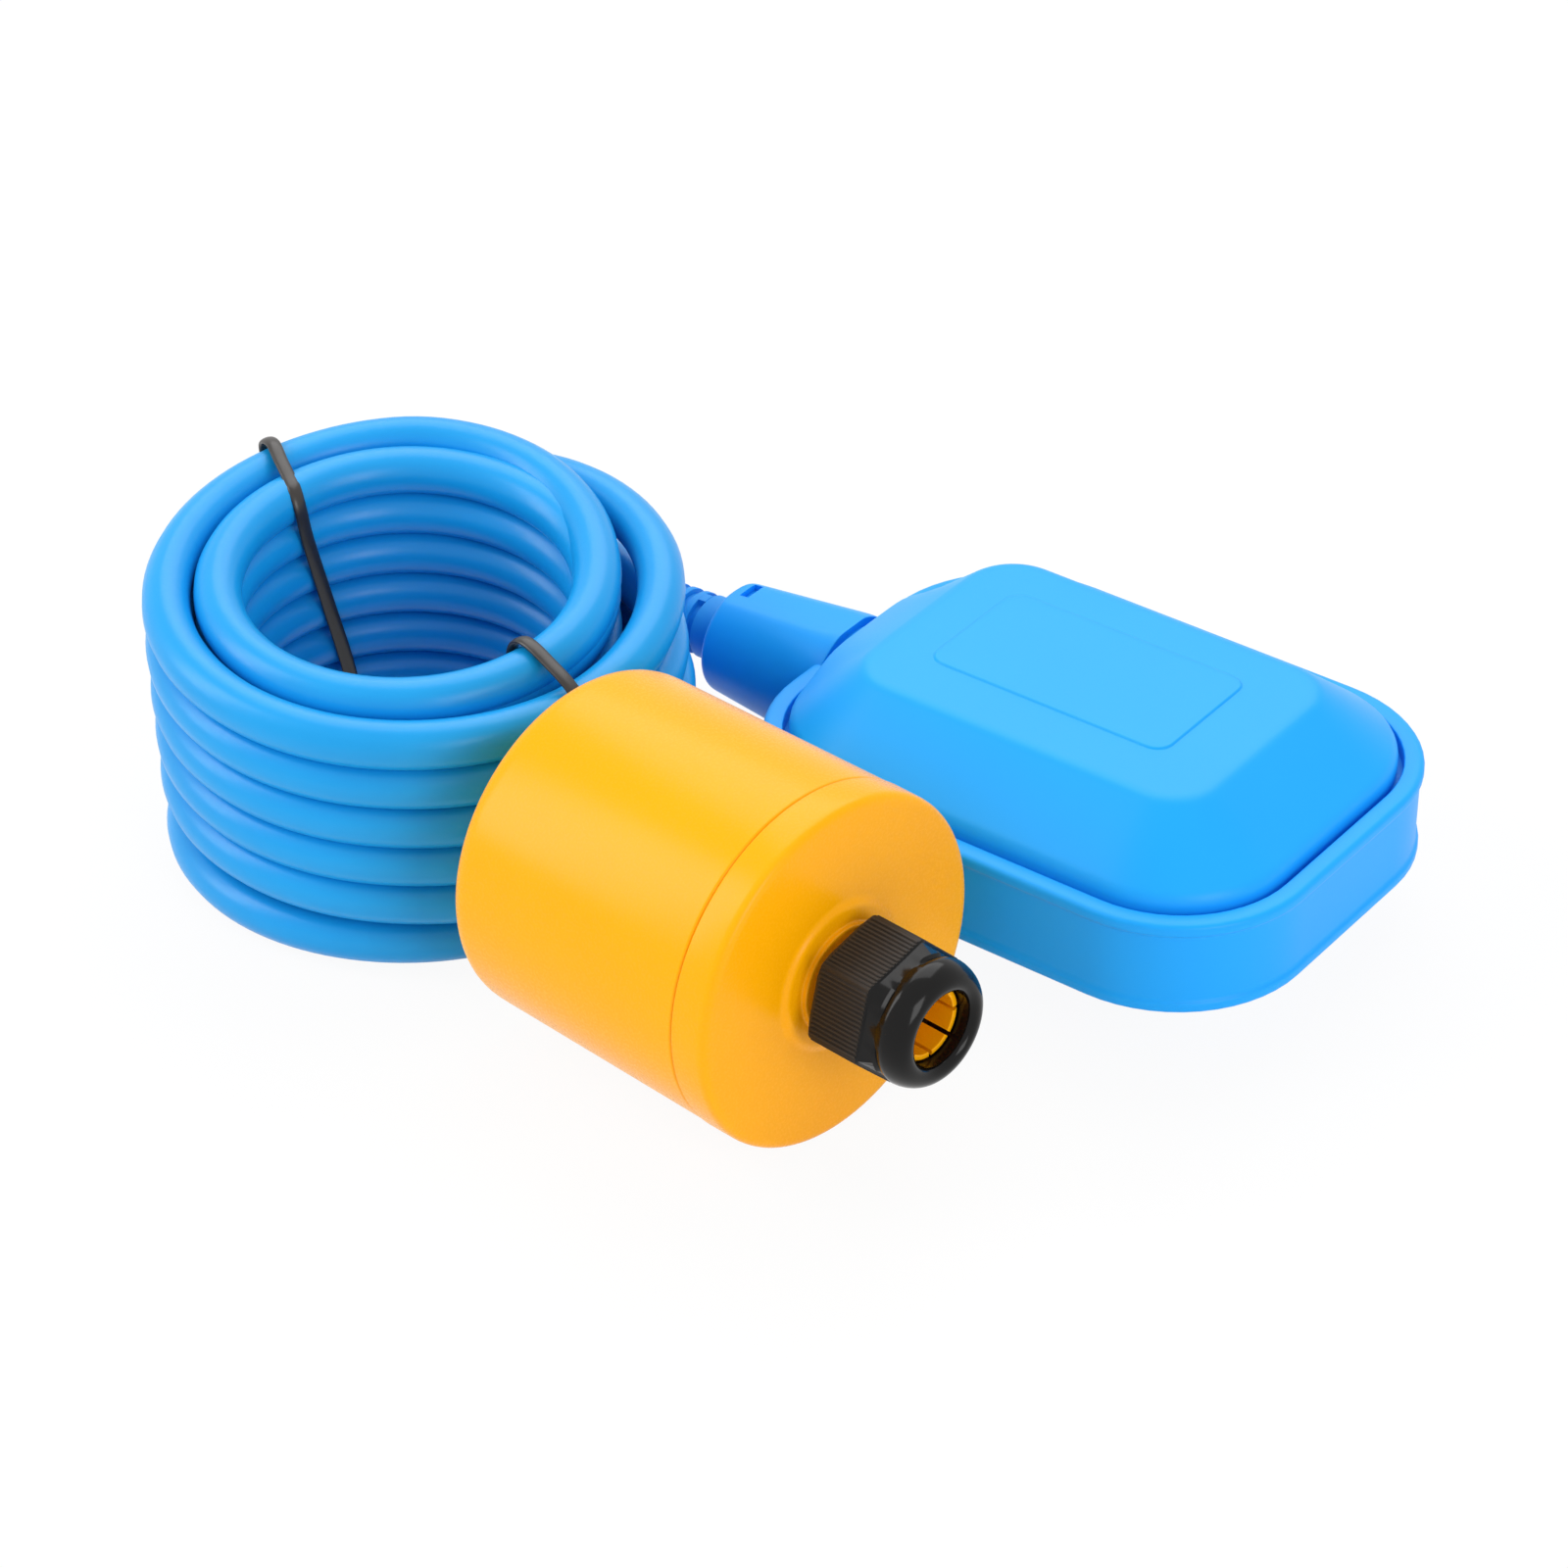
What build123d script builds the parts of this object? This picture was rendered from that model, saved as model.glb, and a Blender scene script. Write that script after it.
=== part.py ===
# Cable float switch: a hollow float with a ball switch inside, a coil of cable and a counterweight.
# Millimetres. X runs along the float, its neck towards -X. The float rests on Z = 0.
from build123d import *
import math
import os

os.makedirs("parts", exist_ok=True)

# Float: the rim band, the two domes and their walls
rim_length = 103.0
rim_width = 81.0
rim_height = 17.5
rim_corner = 25.0
rim_wall = 2.2
rim_lip = 2.2
rim_edge = 0.9
waist_depth = 0.5
waist_margin = 2.2
float_thickness = 41.5
plateau_length = 66.0
plateau_width = 45.0
plateau_corner = 5.5
plateau_edge = 1.0
dome_inset = 4.5
dome_skirt = 1.8
dome_wall = 2.0
groove_width = 0.8
ledge_depth = 1.5
ledge_width = 2.5
cover_spigot = 2.6
cover_clearance = 0.15
label_length = 47.0
label_width = 23.0
label_corner = 3.0
label_height = 0.4
label_shift = -3.0
post_radius = 3.0
post_spacing_x = 52.0
post_spacing_y = 20.0

# Neck: the cone-shaped cable entry at the float's nose, with a flat along its top
neck_tip_radius = 10.0
neck_radius = 12.6
neck_reach = 24.5
neck_front_edge = 1.4
neck_inner_end = 11.5
neck_gap = 1.0
neck_bore = 8.0
neck_bore_depth = 20.0
neck_web = 4.0
neck_flange = 2.0
neck_flange_width = 30.0
neck_flat_drop = 1.1
neck_notch_setback = 1.9
neck_notch_length = 1.9
neck_notch_width = 4.6
neck_notch_depth = 1.0
neck_notch_offset = 0.5

# Cable and its bend relief
cable_diameter = 8.2
core_diameter = 2.8
copper_diameter = 1.5
cable_sides = 12
core_sides = 8
core_offset = 1.75
relief_radius = 5.8
relief_tip_radius = 5.1
relief_reach = 18.0
relief_root = 8.0
relief_plain = 5.2
relief_slot_width = 1.6
relief_slot_pitch = 2.9
relief_slot_count = 4
relief_slot_floor = 4.6
relief_bridge = 2.6
sleeve_clearance = 0.05
relief_seat_clearance = 0.1

# Switch capsule inside the float
capsule_end_room = 11.3
capsule_width = 34.0
capsule_height = 20.0
capsule_wall = 1.6
lid_thickness = 2.0
lid_rim = 1.2
lid_rim_depth = 1.5
spigot_radius = 8.8
spigot_length = 10.0
jacket_tail = 3.0

# Ball, its track, and the switch with its lever
ball_radius = 6.0
ball_clearance = 0.3
track_wall = 1.5
track_slot = 5.0
lever_room = 8.7
saddle_thickness = 2.0
switch_depth = 16.0
switch_length = 28.0
switch_thickness = 10.3
switch_setback = 20.4
switch_hole_radius = 1.55
switch_hole_spacing = 22.2
switch_hole_setback = 5.0
switch_pin_clearance = 0.1
lever_pivot_y = 11.0
lever_standoff = 1.5
lever_length = 22.0
lever_width = 4.0
lever_strip = 0.5
lever_rest_angle = 14.0
lever_pin_radius = 0.6
lever_pin_clearance = 0.06
lever_knuckle_radius = 1.2
lever_ear = 1.4
lever_ear_reach = 1.4
lever_side_clearance = 0.3
plunger_radius = 1.5
plunger_clearance = 0.08
plunger_y = 4.5
plunger_tail = 4.0
plunger_travel = 1.2
contact_gap = 0.3
terminal_length = 6.0
terminal_width = 4.8
terminal_thickness = 0.8
terminal_spacing = 9.0
terminal_hole = 0.8
entry_core_radius = 1.3

# Coil of cable and its two ties
coil_x = -101.0
coil_y = -57.1
coil_outer_turn = 40.0
coil_levels = 6
coil_level_pitch = 7.9
coil_sides = 32
coil_back_angle = 126.8
top_outer_back = 55.5
top_outer_front = 45.3
top_inner_back = 52.3
top_inner_front = 49.1
tie_thickness = 1.2
tie_width = 2.0
tie_head = 4.2
tie_head_depth = 2.8
tie_clearance = 0.05
tie_lead_slack = 0.5
tie_back_angle = 158.8
tie_front_angle = -10.2
end_angle = 98.8
end_notch_span = 46.0
bare_end_span = 8.0

# Counterweight: cup, cap, ballast sleeve and clamping nut, lying on its side
weight_radius = 30.5
weight_length = 58.0
weight_x = 5.6
weight_y = -79.6
weight_angle = -6.7
cup_wall = 2.5
cup_end_wall = 3.0
cup_step = 0.5
cup_draft = 0.4
cup_end_round = 4.0
weight_bore = 5.2
guide_wall = 1.8
cap_depth = 7.0
cap_plate = 3.0
cap_front_round = 2.5
plug_depth = 6.0
plug_wall = 2.4
plug_clearance = 0.15
hub_wall = 2.0
hub_depth = 3.0
boss_radius = 12.6
boss_height = 0.8
thread_radius = 7.4
thread_length = 12.0
thread_step = 0.4
claw_length = 7.4
claw_radius = 6.4
claw_count = 8
claw_slit = 0.7
ballast_radius = 18.7
ballast_clearance = 0.3
nut_across_flats = 22.0
nut_standoff = 3.2
nut_turn = 15.0
nut_hex_length = 14.0
nut_dome_length = 4.6
nut_dome_radius = 10.6
nut_mouth = 6.5
nut_clearance = 0.2
nut_corner_radius = 12.4
nut_dome_step = 1.2

# Places worked out from the sizes above
mid_z = float_thickness / 2
rim_low = mid_z - rim_height / 2
rim_high = mid_z + rim_height / 2
rim_end = rim_length / 2
dome_length = rim_length - 2 * dome_inset
dome_width = rim_width - 2 * dome_inset
dome_corner = rim_corner - dome_inset
ledge_z = rim_high - ledge_depth
skirt_z = rim_high + dome_skirt
dome_rise = float_thickness - skirt_z
dome_run = (dome_length - plateau_length) / 2
slope_wall = dome_wall * math.hypot(dome_rise, dome_run) / dome_rise
cable_radius = cable_diameter / 2
neck_front = -rim_end - neck_reach
neck_back = -rim_end + neck_inner_end
relief_end = neck_front - relief_reach
relief_inner = neck_front + relief_root
seal_end = neck_front + neck_bore_depth


def save(shape, name):
    """Writes one piece to its own file."""
    export_step(shape, f"parts/{name}.step")


def slab(length, width, corner, low, high):
    """Rounded plate between two heights."""
    return extrude(Plane.XY.offset(low) * RectangleRounded(length, width, corner), high - low)


def dome(length, width, corner, top_length, top_width, top_corner, low, high):
    """Truncated pyramid with rounded corners between two heights."""
    base = Plane.XY.offset(low) * RectangleRounded(length, width, corner)
    top = Plane.XY.offset(high) * RectangleRounded(top_length, top_width, top_corner)
    return loft([base, top])


def rod_x(radius, start, end, y=0.0, z=mid_z):
    """Round bar along X."""
    return Plane((start, y, z), x_dir=(0, 1, 0), z_dir=(1, 0, 0)) * extrude(Circle(radius), end - start)


def ring_x(outer, inner, start, end):
    """Tube along X on the float's axis."""
    return rod_x(outer, start, end) - rod_x(inner, start, end)


def block(low, high):
    """Box between two corners."""
    size = [b - a for a, b in zip(low, high)]
    centre = [(a + b) / 2 for a, b in zip(low, high)]
    return Location(centre) * Box(*size)


def round_section(radius, sides):
    """Many-sided section with the area of a circle of this radius."""
    corner_radius = radius * math.sqrt(2 * math.pi / (sides * math.sin(2 * math.pi / sides)))
    return RegularPolygon(corner_radius, sides)


def swept(path, radius, sides):
    """Round section swept along a path."""
    start = Plane(origin=path @ 0, z_dir=path % 0)
    return sweep(start * round_section(radius, sides), path=path)


def arc_points(centre, radius, first, last, count):
    """Points of an arc in an outline, angles in degrees."""
    angles = [first + (last - first) * step / (count - 1) for step in range(count)]
    return [
        (
            centre[0] + radius * math.cos(math.radians(angle)),
            centre[1] + radius * math.sin(math.radians(angle)),
        )
        for angle in angles
    ]


def turned(points):
    """Solid of revolution about X from a closed outline of X and radius."""
    return revolve(Plane.XZ * make_face(Polyline(*points, close=True)), Axis.X)


def widest_radii(points):
    """Largest tangent arc that each corner of a route leaves room for."""
    corners = [Vector(*p) for p in points]
    radii = []
    for before, corner, after in zip(corners, corners[1:], corners[2:]):
        arrive = corner - before
        leave = after - corner
        half_turn = math.radians(arrive.get_angle(leave)) / 2
        radii.append(0.45 * min(arrive.length, leave.length) / math.tan(half_turn))
    return radii


# Hollow dome shared by the cover and, mirrored, by the float's underside
def dome_form():
    """Outer form above the rim: a short upright skirt and the sloping dome."""
    skirt = slab(dome_length, dome_width, dome_corner, ledge_z, skirt_z)
    slope = dome(
        dome_length, dome_width, dome_corner,
        plateau_length, plateau_width, plateau_corner,
        skirt_z, float_thickness,
    )
    form = skirt + slope
    top_edges = form.faces().sort_by(Axis.Z)[-1].edges()
    return chamfer(top_edges, plateau_edge)


def dome_hollow(low):
    """Space inside the dome, one wall in from the form."""
    inset = 2 * slope_wall
    grow = 2 * (dome_wall * dome_run / dome_rise - slope_wall)
    inner_corner = dome_corner - slope_wall
    upright = slab(dome_length - inset, dome_width - inset, inner_corner, low, skirt_z)
    slope = dome(
        dome_length - inset, dome_width - inset, inner_corner,
        plateau_length + grow, plateau_width + grow, plateau_corner,
        skirt_z, float_thickness - dome_wall,
    )
    return upright + slope


def flipped(shape):
    """The same form turned over about the float's mid-plane."""
    return Plane.XY.offset(mid_z) * (Rot(180, 0, 0) * (Pos(0, 0, -mid_z) * shape))


def posts(low, high):
    """Four round posts that hold the capsule."""
    spots = GridLocations(post_spacing_x, post_spacing_y, 2, 2)
    return [Pos(0, 0, low) * spot * extrude(Circle(post_radius), high - low) for spot in spots]


capsule_low = mid_z - capsule_height / 2
capsule_high = mid_z + capsule_height / 2
lid_high = capsule_high + lid_thickness

# Float body: rim band, underside dome and capsule posts, moulded as one
band = slab(rim_length, rim_width, rim_corner, rim_low, rim_high)
band = chamfer(band.faces().sort_by(Axis.Z)[0].edges() + band.faces().sort_by(Axis.Z)[-1].edges(), rim_edge)
waist = slab(
    rim_length + 2, rim_width + 2, rim_corner + 1, rim_low + waist_margin, rim_high - waist_margin
) - slab(
    rim_length - 2 * waist_depth, rim_width - 2 * waist_depth, rim_corner - waist_depth,
    rim_low + waist_margin, rim_high - waist_margin,
)
band_hollow = slab(
    rim_length - 2 * rim_wall, rim_width - 2 * rim_wall, rim_corner - rim_wall,
    rim_low + rim_lip, rim_high - ledge_depth - rim_lip,
)
rebate = slab(
    dome_length + 2 * groove_width, dome_width + 2 * groove_width, dome_corner + groove_width,
    ledge_z, rim_high,
)
mouth_length = dome_length - 2 * ledge_width
mouth_width = dome_width - 2 * ledge_width
mouth = slab(mouth_length, mouth_width, dome_corner - ledge_width, mid_z, ledge_z)
neck_hole = rod_x(neck_radius + sleeve_clearance, neck_front, neck_back)
float_body = band - waist + flipped(dome_form())
float_body = float_body - band_hollow - rebate - mouth - flipped(dome_hollow(mid_z)) - neck_hole
for post in posts(dome_wall, capsule_low):
    float_body += post
save(float_body, "float_body")

# Top cover: the dome let into the rim, with the bare label pad and hold-down posts
spigot_plate = slab(
    mouth_length - 2 * cover_clearance, mouth_width - 2 * cover_clearance,
    dome_corner - ledge_width - cover_clearance, ledge_z - cover_spigot, ledge_z,
)
label_pad = Pos(label_shift, 0, 0) * slab(
    label_length, label_width, label_corner, float_thickness - dome_wall / 2, float_thickness + label_height
)
top_cover = dome_form() + spigot_plate - dome_hollow(ledge_z - cover_spigot) + label_pad
top_cover = top_cover - rod_x(neck_radius + neck_gap, neck_front, neck_back)
for post in posts(lid_high, float_thickness - dome_wall / 2):
    top_cover += post
save(top_cover, "top_cover")

# Neck barrel: cone with a flat and a notch on top, flange behind the rim, stepped bore inside
cone_outline = [
    (neck_front, 0),
    (neck_front, neck_tip_radius - neck_front_edge),
    (neck_front + 0.3 * neck_front_edge, neck_tip_radius - 0.3 * neck_front_edge),
    (neck_front + neck_front_edge, neck_tip_radius),
    (-rim_end, neck_radius),
    (neck_back, neck_radius),
    (neck_back, 0),
]
barrel = Pos(0, 0, mid_z) * turned(cone_outline)
flat_rise = math.degrees(math.atan2(neck_radius - neck_tip_radius, neck_reach - neck_front_edge))
flat_cut = Pos(0, 0, neck_notch_depth + neck_radius) * Box(2 * neck_reach, 2 * neck_radius, 2 * neck_radius)
notch_middle = (neck_notch_setback + neck_notch_length / 2, neck_notch_width / 2 - neck_notch_offset)
notch_cut = Pos(*notch_middle, neck_radius) * Box(neck_notch_length, neck_notch_width, 2 * neck_radius)
notch_floor = mid_z + neck_tip_radius - neck_flat_drop - neck_notch_depth
flat_place = Pos(neck_front, 0, notch_floor) * Rot(0, -flat_rise, 0)
barrel = barrel - flat_place * (flat_cut + notch_cut)
flange = block(
    (-rim_end + rim_wall, -neck_flange_width / 2, rim_low + rim_lip),
    (-rim_end + rim_wall + neck_flange, neck_flange_width / 2, rim_high - ledge_depth - rim_lip),
)
neck_barrel = barrel + flange
neck_barrel = neck_barrel - rod_x(neck_bore, neck_front, seal_end)
neck_barrel = neck_barrel - rod_x(cable_radius + sleeve_clearance, seal_end, neck_back)
neck_barrel = neck_barrel - rod_x(spigot_radius + sleeve_clearance, seal_end + neck_web, neck_back)
save(neck_barrel, "neck_barrel")

# Bend relief: moulded sleeve with alternate slots round it
relief_outline = Plane.XZ * make_face(
    Polyline(
        (relief_inner, cable_radius + sleeve_clearance),
        (relief_inner, neck_bore - relief_seat_clearance),
        (neck_front, neck_bore - relief_seat_clearance),
        (neck_front, relief_radius),
        (neck_front - relief_plain, relief_radius),
        (relief_end, relief_tip_radius),
        (relief_end, cable_radius + sleeve_clearance),
        close=True,
    )
)
strain_relief = Pos(0, 0, mid_z) * revolve(relief_outline, Axis.X)
for index in range(relief_slot_count):
    slot_start = neck_front - relief_plain - index * relief_slot_pitch - relief_slot_width
    slot = ring_x(relief_radius + 1, relief_slot_floor, slot_start, slot_start + relief_slot_width)
    half_bridge = relief_bridge / 2
    wide = relief_radius + 2
    if index % 2:
        reach = (wide, half_bridge)
    else:
        reach = (half_bridge, wide)
    bridge = block(
        (slot_start, -reach[0], mid_z - reach[1]),
        (slot_start + relief_slot_width, reach[0], mid_z + reach[1]),
    )
    strain_relief = strain_relief - (slot - bridge)
save(strain_relief, "strain_relief")

# Rubber seal in the neck, and the length of jacket that passes through it
neck_seal = ring_x(
    neck_bore - relief_seat_clearance, cable_radius + sleeve_clearance, relief_inner, seal_end
)
save(neck_seal, "neck_seal")
jacket_end = neck_back + jacket_tail
save(rod_x(cable_radius, relief_end, jacket_end), "cable_entry")

# Capsule tray: sealed box with a spigot into the neck, saddles, and pins for the switch
capsule_end = rim_end - rim_wall - capsule_end_room
capsule_length = capsule_end - neck_back
inner_low = capsule_low + capsule_wall
switch_back = neck_back + switch_setback
switch_face = switch_back + switch_depth
switch_low = mid_z - switch_thickness / 2
switch_high = mid_z + switch_thickness / 2
track_start = switch_face + lever_room
track_end = capsule_end - capsule_wall - ball_clearance
track_inner = ball_radius + ball_clearance
track_outer = track_inner + track_wall
pin_x = switch_back + switch_hole_setback
tray = block(
    (neck_back, -capsule_width / 2, capsule_low), (capsule_end, capsule_width / 2, capsule_high)
)
tray = tray - block(
    (neck_back + capsule_wall, -capsule_width / 2 + capsule_wall, inner_low),
    (capsule_end - capsule_wall, capsule_width / 2 - capsule_wall, capsule_high),
)
tray = tray + rod_x(spigot_radius, neck_back - spigot_length + neck_web, neck_back)
tray = tray - rod_x(cable_radius + sleeve_clearance, neck_back - spigot_length, neck_back + capsule_wall)
tray = tray + block(
    (switch_back, -switch_length / 2, inner_low), (switch_face - 1, switch_length / 2, switch_low)
)
for side in (-1, 1):
    pin_y = side * switch_hole_spacing / 2
    pin = Cylinder(switch_hole_radius - switch_pin_clearance, switch_high - inner_low - 1)
    tray = tray + Pos(pin_x, pin_y, (switch_high - 1 + inner_low) / 2) * pin
for saddle_x in (track_start + 3, track_end - 3 - saddle_thickness):
    saddle = block(
        (saddle_x, -track_outer - 2, inner_low), (saddle_x + saddle_thickness, track_outer + 2, mid_z)
    )
    tray = tray + (saddle - rod_x(track_outer + sleeve_clearance, saddle_x, saddle_x + saddle_thickness))
save(tray, "capsule_tray")

# Capsule lid: flat plate with a locating rim
rim_out_x = capsule_length - 2 * capsule_wall - 2 * cover_clearance
rim_out_y = capsule_width - 2 * capsule_wall - 2 * cover_clearance
capsule_mid = neck_back + capsule_length / 2
lid_plate = Box(capsule_length, capsule_width, lid_thickness)
lid = Pos(capsule_mid, 0, capsule_high + lid_thickness / 2) * lid_plate
lid_rim_z = capsule_high - lid_rim_depth / 2
lid = lid + Pos(capsule_mid, 0, lid_rim_z) * (
    Box(rim_out_x, rim_out_y, lid_rim_depth)
    - Box(rim_out_x - 2 * lid_rim, rim_out_y - 2 * lid_rim, lid_rim_depth)
)
save(lid, "capsule_lid")

# Ball track: slotted tube, closed at its far end
track = ring_x(track_outer, track_inner, track_start, track_end)
track = track + rod_x(track_outer, track_end - track_wall, track_end)
track = track - block(
    (track_start, -track_slot / 2, mid_z), (track_end - track_wall, track_slot / 2, mid_z + track_outer)
)
save(track, "ball_track")

# Steel ball at rest against the closed end
ball_x = track_end - track_wall - ball_clearance - ball_radius
save(Pos(ball_x, 0, mid_z) * Sphere(ball_radius), "steel_ball")

# Switch case: mounting holes, plunger guide and the two ears of the lever's hinge
pivot_x = switch_face + lever_standoff
case = block((switch_back, -switch_length / 2, switch_low), (switch_face, switch_length / 2, switch_high))
case = fillet(case.edges().filter_by(Axis.Z), 0.8)
for side in (-1, 1):
    fixing_hole = Cylinder(switch_hole_radius, 2 * switch_thickness)
    case = case - Pos(pin_x, side * switch_hole_spacing / 2, mid_z) * fixing_hole
rest_slope = math.tan(math.radians(lever_rest_angle))
lever_x_at_plunger = pivot_x + (lever_pivot_y - plunger_y) * rest_slope
half_strip = lever_strip / 2 / math.cos(math.radians(lever_rest_angle))
plunger_tip = lever_x_at_plunger - half_strip - contact_gap
plunger_start = switch_face - plunger_tail
guide_start = plunger_start - plunger_travel - contact_gap
case = case - rod_x(plunger_radius + plunger_clearance, guide_start, switch_face, y=plunger_y)
ear_inner = lever_width / 2 + lever_side_clearance
for side in (-1, 1):
    ear = block(
        (switch_face, lever_pivot_y - lever_knuckle_radius, ear_inner),
        (pivot_x + lever_ear_reach, lever_pivot_y + lever_knuckle_radius, ear_inner + lever_ear),
    )
    if side < 0:
        ear = mirror(ear, Plane.XY)
    case = case + Pos(0, 0, mid_z) * ear
pin_length = 2 * (ear_inner + lever_ear)
pin_hole = Pos(pivot_x, lever_pivot_y, mid_z) * Cylinder(lever_pin_radius + 0.01, pin_length)
case = case - pin_hole
save(case, "switch_case")
save(Pos(pivot_x, lever_pivot_y, mid_z) * Cylinder(lever_pin_radius, pin_length), "lever_pin")

# Lever: rolled knuckle on the pin and a thin strip across the plunger
knuckle = Cylinder(lever_knuckle_radius, lever_width)
strip = Pos(0, -lever_length / 2, 0) * Box(lever_strip, lever_length, lever_width)
lever = knuckle + strip - Cylinder(lever_pin_radius + lever_pin_clearance, lever_width)
save(Pos(pivot_x, lever_pivot_y, mid_z) * (Rot(0, 0, lever_rest_angle) * lever), "switch_lever")

# Plunger: round pin with a domed tip just clear of the lever
plunger = rod_x(plunger_radius, plunger_start, plunger_tip, y=plunger_y)
plunger = chamfer(plunger.edges().filter_by(GeomType.CIRCLE).sort_by(Axis.X)[-1], plunger_radius * 0.5)
save(plunger, "switch_plunger")

# Three terminals behind the switch and the entry cores that reach them
terminals = []
terminal_tip = switch_back - terminal_length
for index in (-1, 0, 1):
    blade_y = index * terminal_spacing
    blade = block(
        (terminal_tip, blade_y - terminal_thickness / 2, mid_z - terminal_width / 2),
        (switch_back, blade_y + terminal_thickness / 2, mid_z + terminal_width / 2),
    )
    hole = Pos(terminal_tip + 1.8, blade_y, mid_z) * (Rot(90, 0, 0) * Cylinder(terminal_hole, 3))
    terminals.append(blade - hole)
save(Compound(terminals), "switch_terminals")
core_names = ("brown", "blue", "green")
core_spots = [
    (core_offset * math.cos(math.radians(angle)), core_offset * math.sin(math.radians(angle)))
    for angle in (-30, 90, 210)
]
for name, spot, index in zip(core_names, core_spots, (1, 0, -1)):
    reach = terminal_tip - jacket_end
    points = [
        (jacket_end, spot[0], mid_z + spot[1]),
        (jacket_end + 0.28 * reach, spot[0], mid_z + spot[1]),
        (terminal_tip - 0.28 * reach, index * terminal_spacing, mid_z),
        (terminal_tip, index * terminal_spacing, mid_z),
    ]
    core_path = FilletPolyline(*points, radius=widest_radii(points))
    save(swept(core_path, entry_core_radius, core_sides), f"entry_core_{name}")

# Cable route from the relief: straight out, bending round behind the coil and down into its lowest turn
coil_base = tie_thickness + tie_clearance
turn_z = coil_base + cable_radius
lead_route = [
    (relief_end, 0.0, mid_z),
    (-106.0, 0.0, mid_z),
    (-120.5, -3.9, 17.8),
    (-133.6, -13.1, 12.6),
    (-142.8, -26.2, 7.6),
    (-146.4, -39.7, turn_z),
    (-145.3, -52.7, turn_z),
    (-141.6, -64.1, turn_z),
    (-137.1, -73.0, turn_z),
]
lead_edge_count = 9
lead_radii = widest_radii(lead_route)
lead_path = FilletPolyline(*lead_route, radius=lead_radii)
lead_edges = lead_path.edges()
lead_wire = Wire(lead_edges[:lead_edge_count])
run_in_wire = Wire(lead_edges[lead_edge_count:])


cable_lead = swept(lead_wire, cable_radius, cable_sides)
print("lead radii", [round(r, 1) for r in lead_radii])
print("lead length", round(lead_wire.length, 1), "volume share",
      round(cable_lead.volume / (math.pi * cable_radius**2 * lead_wire.length), 4))
save(cable_lead, "cable_lead")

# Coil: two columns of turns as one ribbed ring, its top turns lying at a slope, higher at the back
coil_inner_turn = coil_outer_turn - cable_diameter
column_middle = (coil_inner_turn + coil_outer_turn) / 2
level_heights = [turn_z + level * coil_level_pitch for level in range(coil_levels)]


def drum(outline):
    """Many-sided solid through rings of given radius and height."""
    rings = [Plane.XY.offset(height) * RegularPolygon(radius, coil_sides) for radius, height in outline]
    return loft(rings, ruled=True)


def turn_side(radius, height, sign, valley):
    """Outline of one turn's outer side (sign 1) or inner side (sign -1), from below to above."""
    low = math.degrees(math.asin(min(valley / cable_radius, 1)))
    return [
        (
            radius + sign * cable_radius * math.cos(math.radians(angle)),
            height + cable_radius * math.sin(math.radians(angle)),
        )
        for angle in (-low, -0.5 * low, 0, 0.5 * low, low)
    ]


def stacked_sides(radius, sign):
    """Outline of a whole column's side, with a valley between one turn and the next."""
    valley = coil_level_pitch / 2
    outline = []
    for height in level_heights:
        outline += turn_side(radius, height, sign, valley)[0 if height == level_heights[0] else 1:]
    return outline


def loose_turn(radius):
    """One turn by itself."""
    outer = turn_side(radius, 0, 1, 0.95 * cable_radius)
    inner = turn_side(radius, 0, -1, 0.95 * cable_radius)
    return drum(outer) - drum(inner)


def top_slope(radius, back, front):
    """Slope of a top turn in degrees, from its heights at the back and at the front."""
    return math.degrees(math.atan2(back - front, 2 * radius))


def tilted(shape, slope):
    """The shape turned so that its back is higher."""
    return Rot(0, 0, coil_back_angle - 90) * (Rot(slope, 0, 0) * shape)


outer_slope = top_slope(coil_outer_turn, top_outer_back, top_outer_front)
inner_slope = top_slope(coil_inner_turn, top_inner_back, top_inner_front)
outer_mid = (top_outer_back + top_outer_front) / 2
inner_mid = (top_inner_back + top_inner_front) / 2
fill_low = -1.1 * coil_level_pitch
fill_outer = column_middle + 0.4 * cable_diameter
fill_inner = column_middle - 0.4 * cable_diameter
fill = drum([(fill_outer, fill_low), (fill_outer, -1)]) - drum([(fill_inner, fill_low), (fill_inner, -1)])
ring = drum(stacked_sides(coil_outer_turn, 1)) - drum(stacked_sides(coil_inner_turn, -1))
ring += Pos(0, 0, inner_mid) * tilted(fill, inner_slope)
ring += Pos(0, 0, outer_mid) * tilted(loose_turn(coil_outer_turn), outer_slope)
ring += Pos(0, 0, inner_mid) * tilted(loose_turn(coil_inner_turn), inner_slope)

# The notch where the cut end of the cable lies, then the run of cable that comes in from the lead
notch_low = level_heights[1] - coil_level_pitch / 2
notch_high = level_heights[1] + coil_level_pitch / 2
notch_section = Plane.XZ * (
    Pos(column_middle + 1.5 * cable_radius, (notch_low + notch_high) / 2)
    * Rectangle(3 * cable_radius, notch_high - notch_low)
)
notch = Rot(0, 0, end_angle) * revolve(notch_section, Axis.Z, end_notch_span)
coil_centre = Pos(coil_x, coil_y, 0)
cable_coil = coil_centre * (ring - notch) + swept(run_in_wire, cable_radius, cable_sides)
save(cable_coil, "cable_coil")

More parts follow.
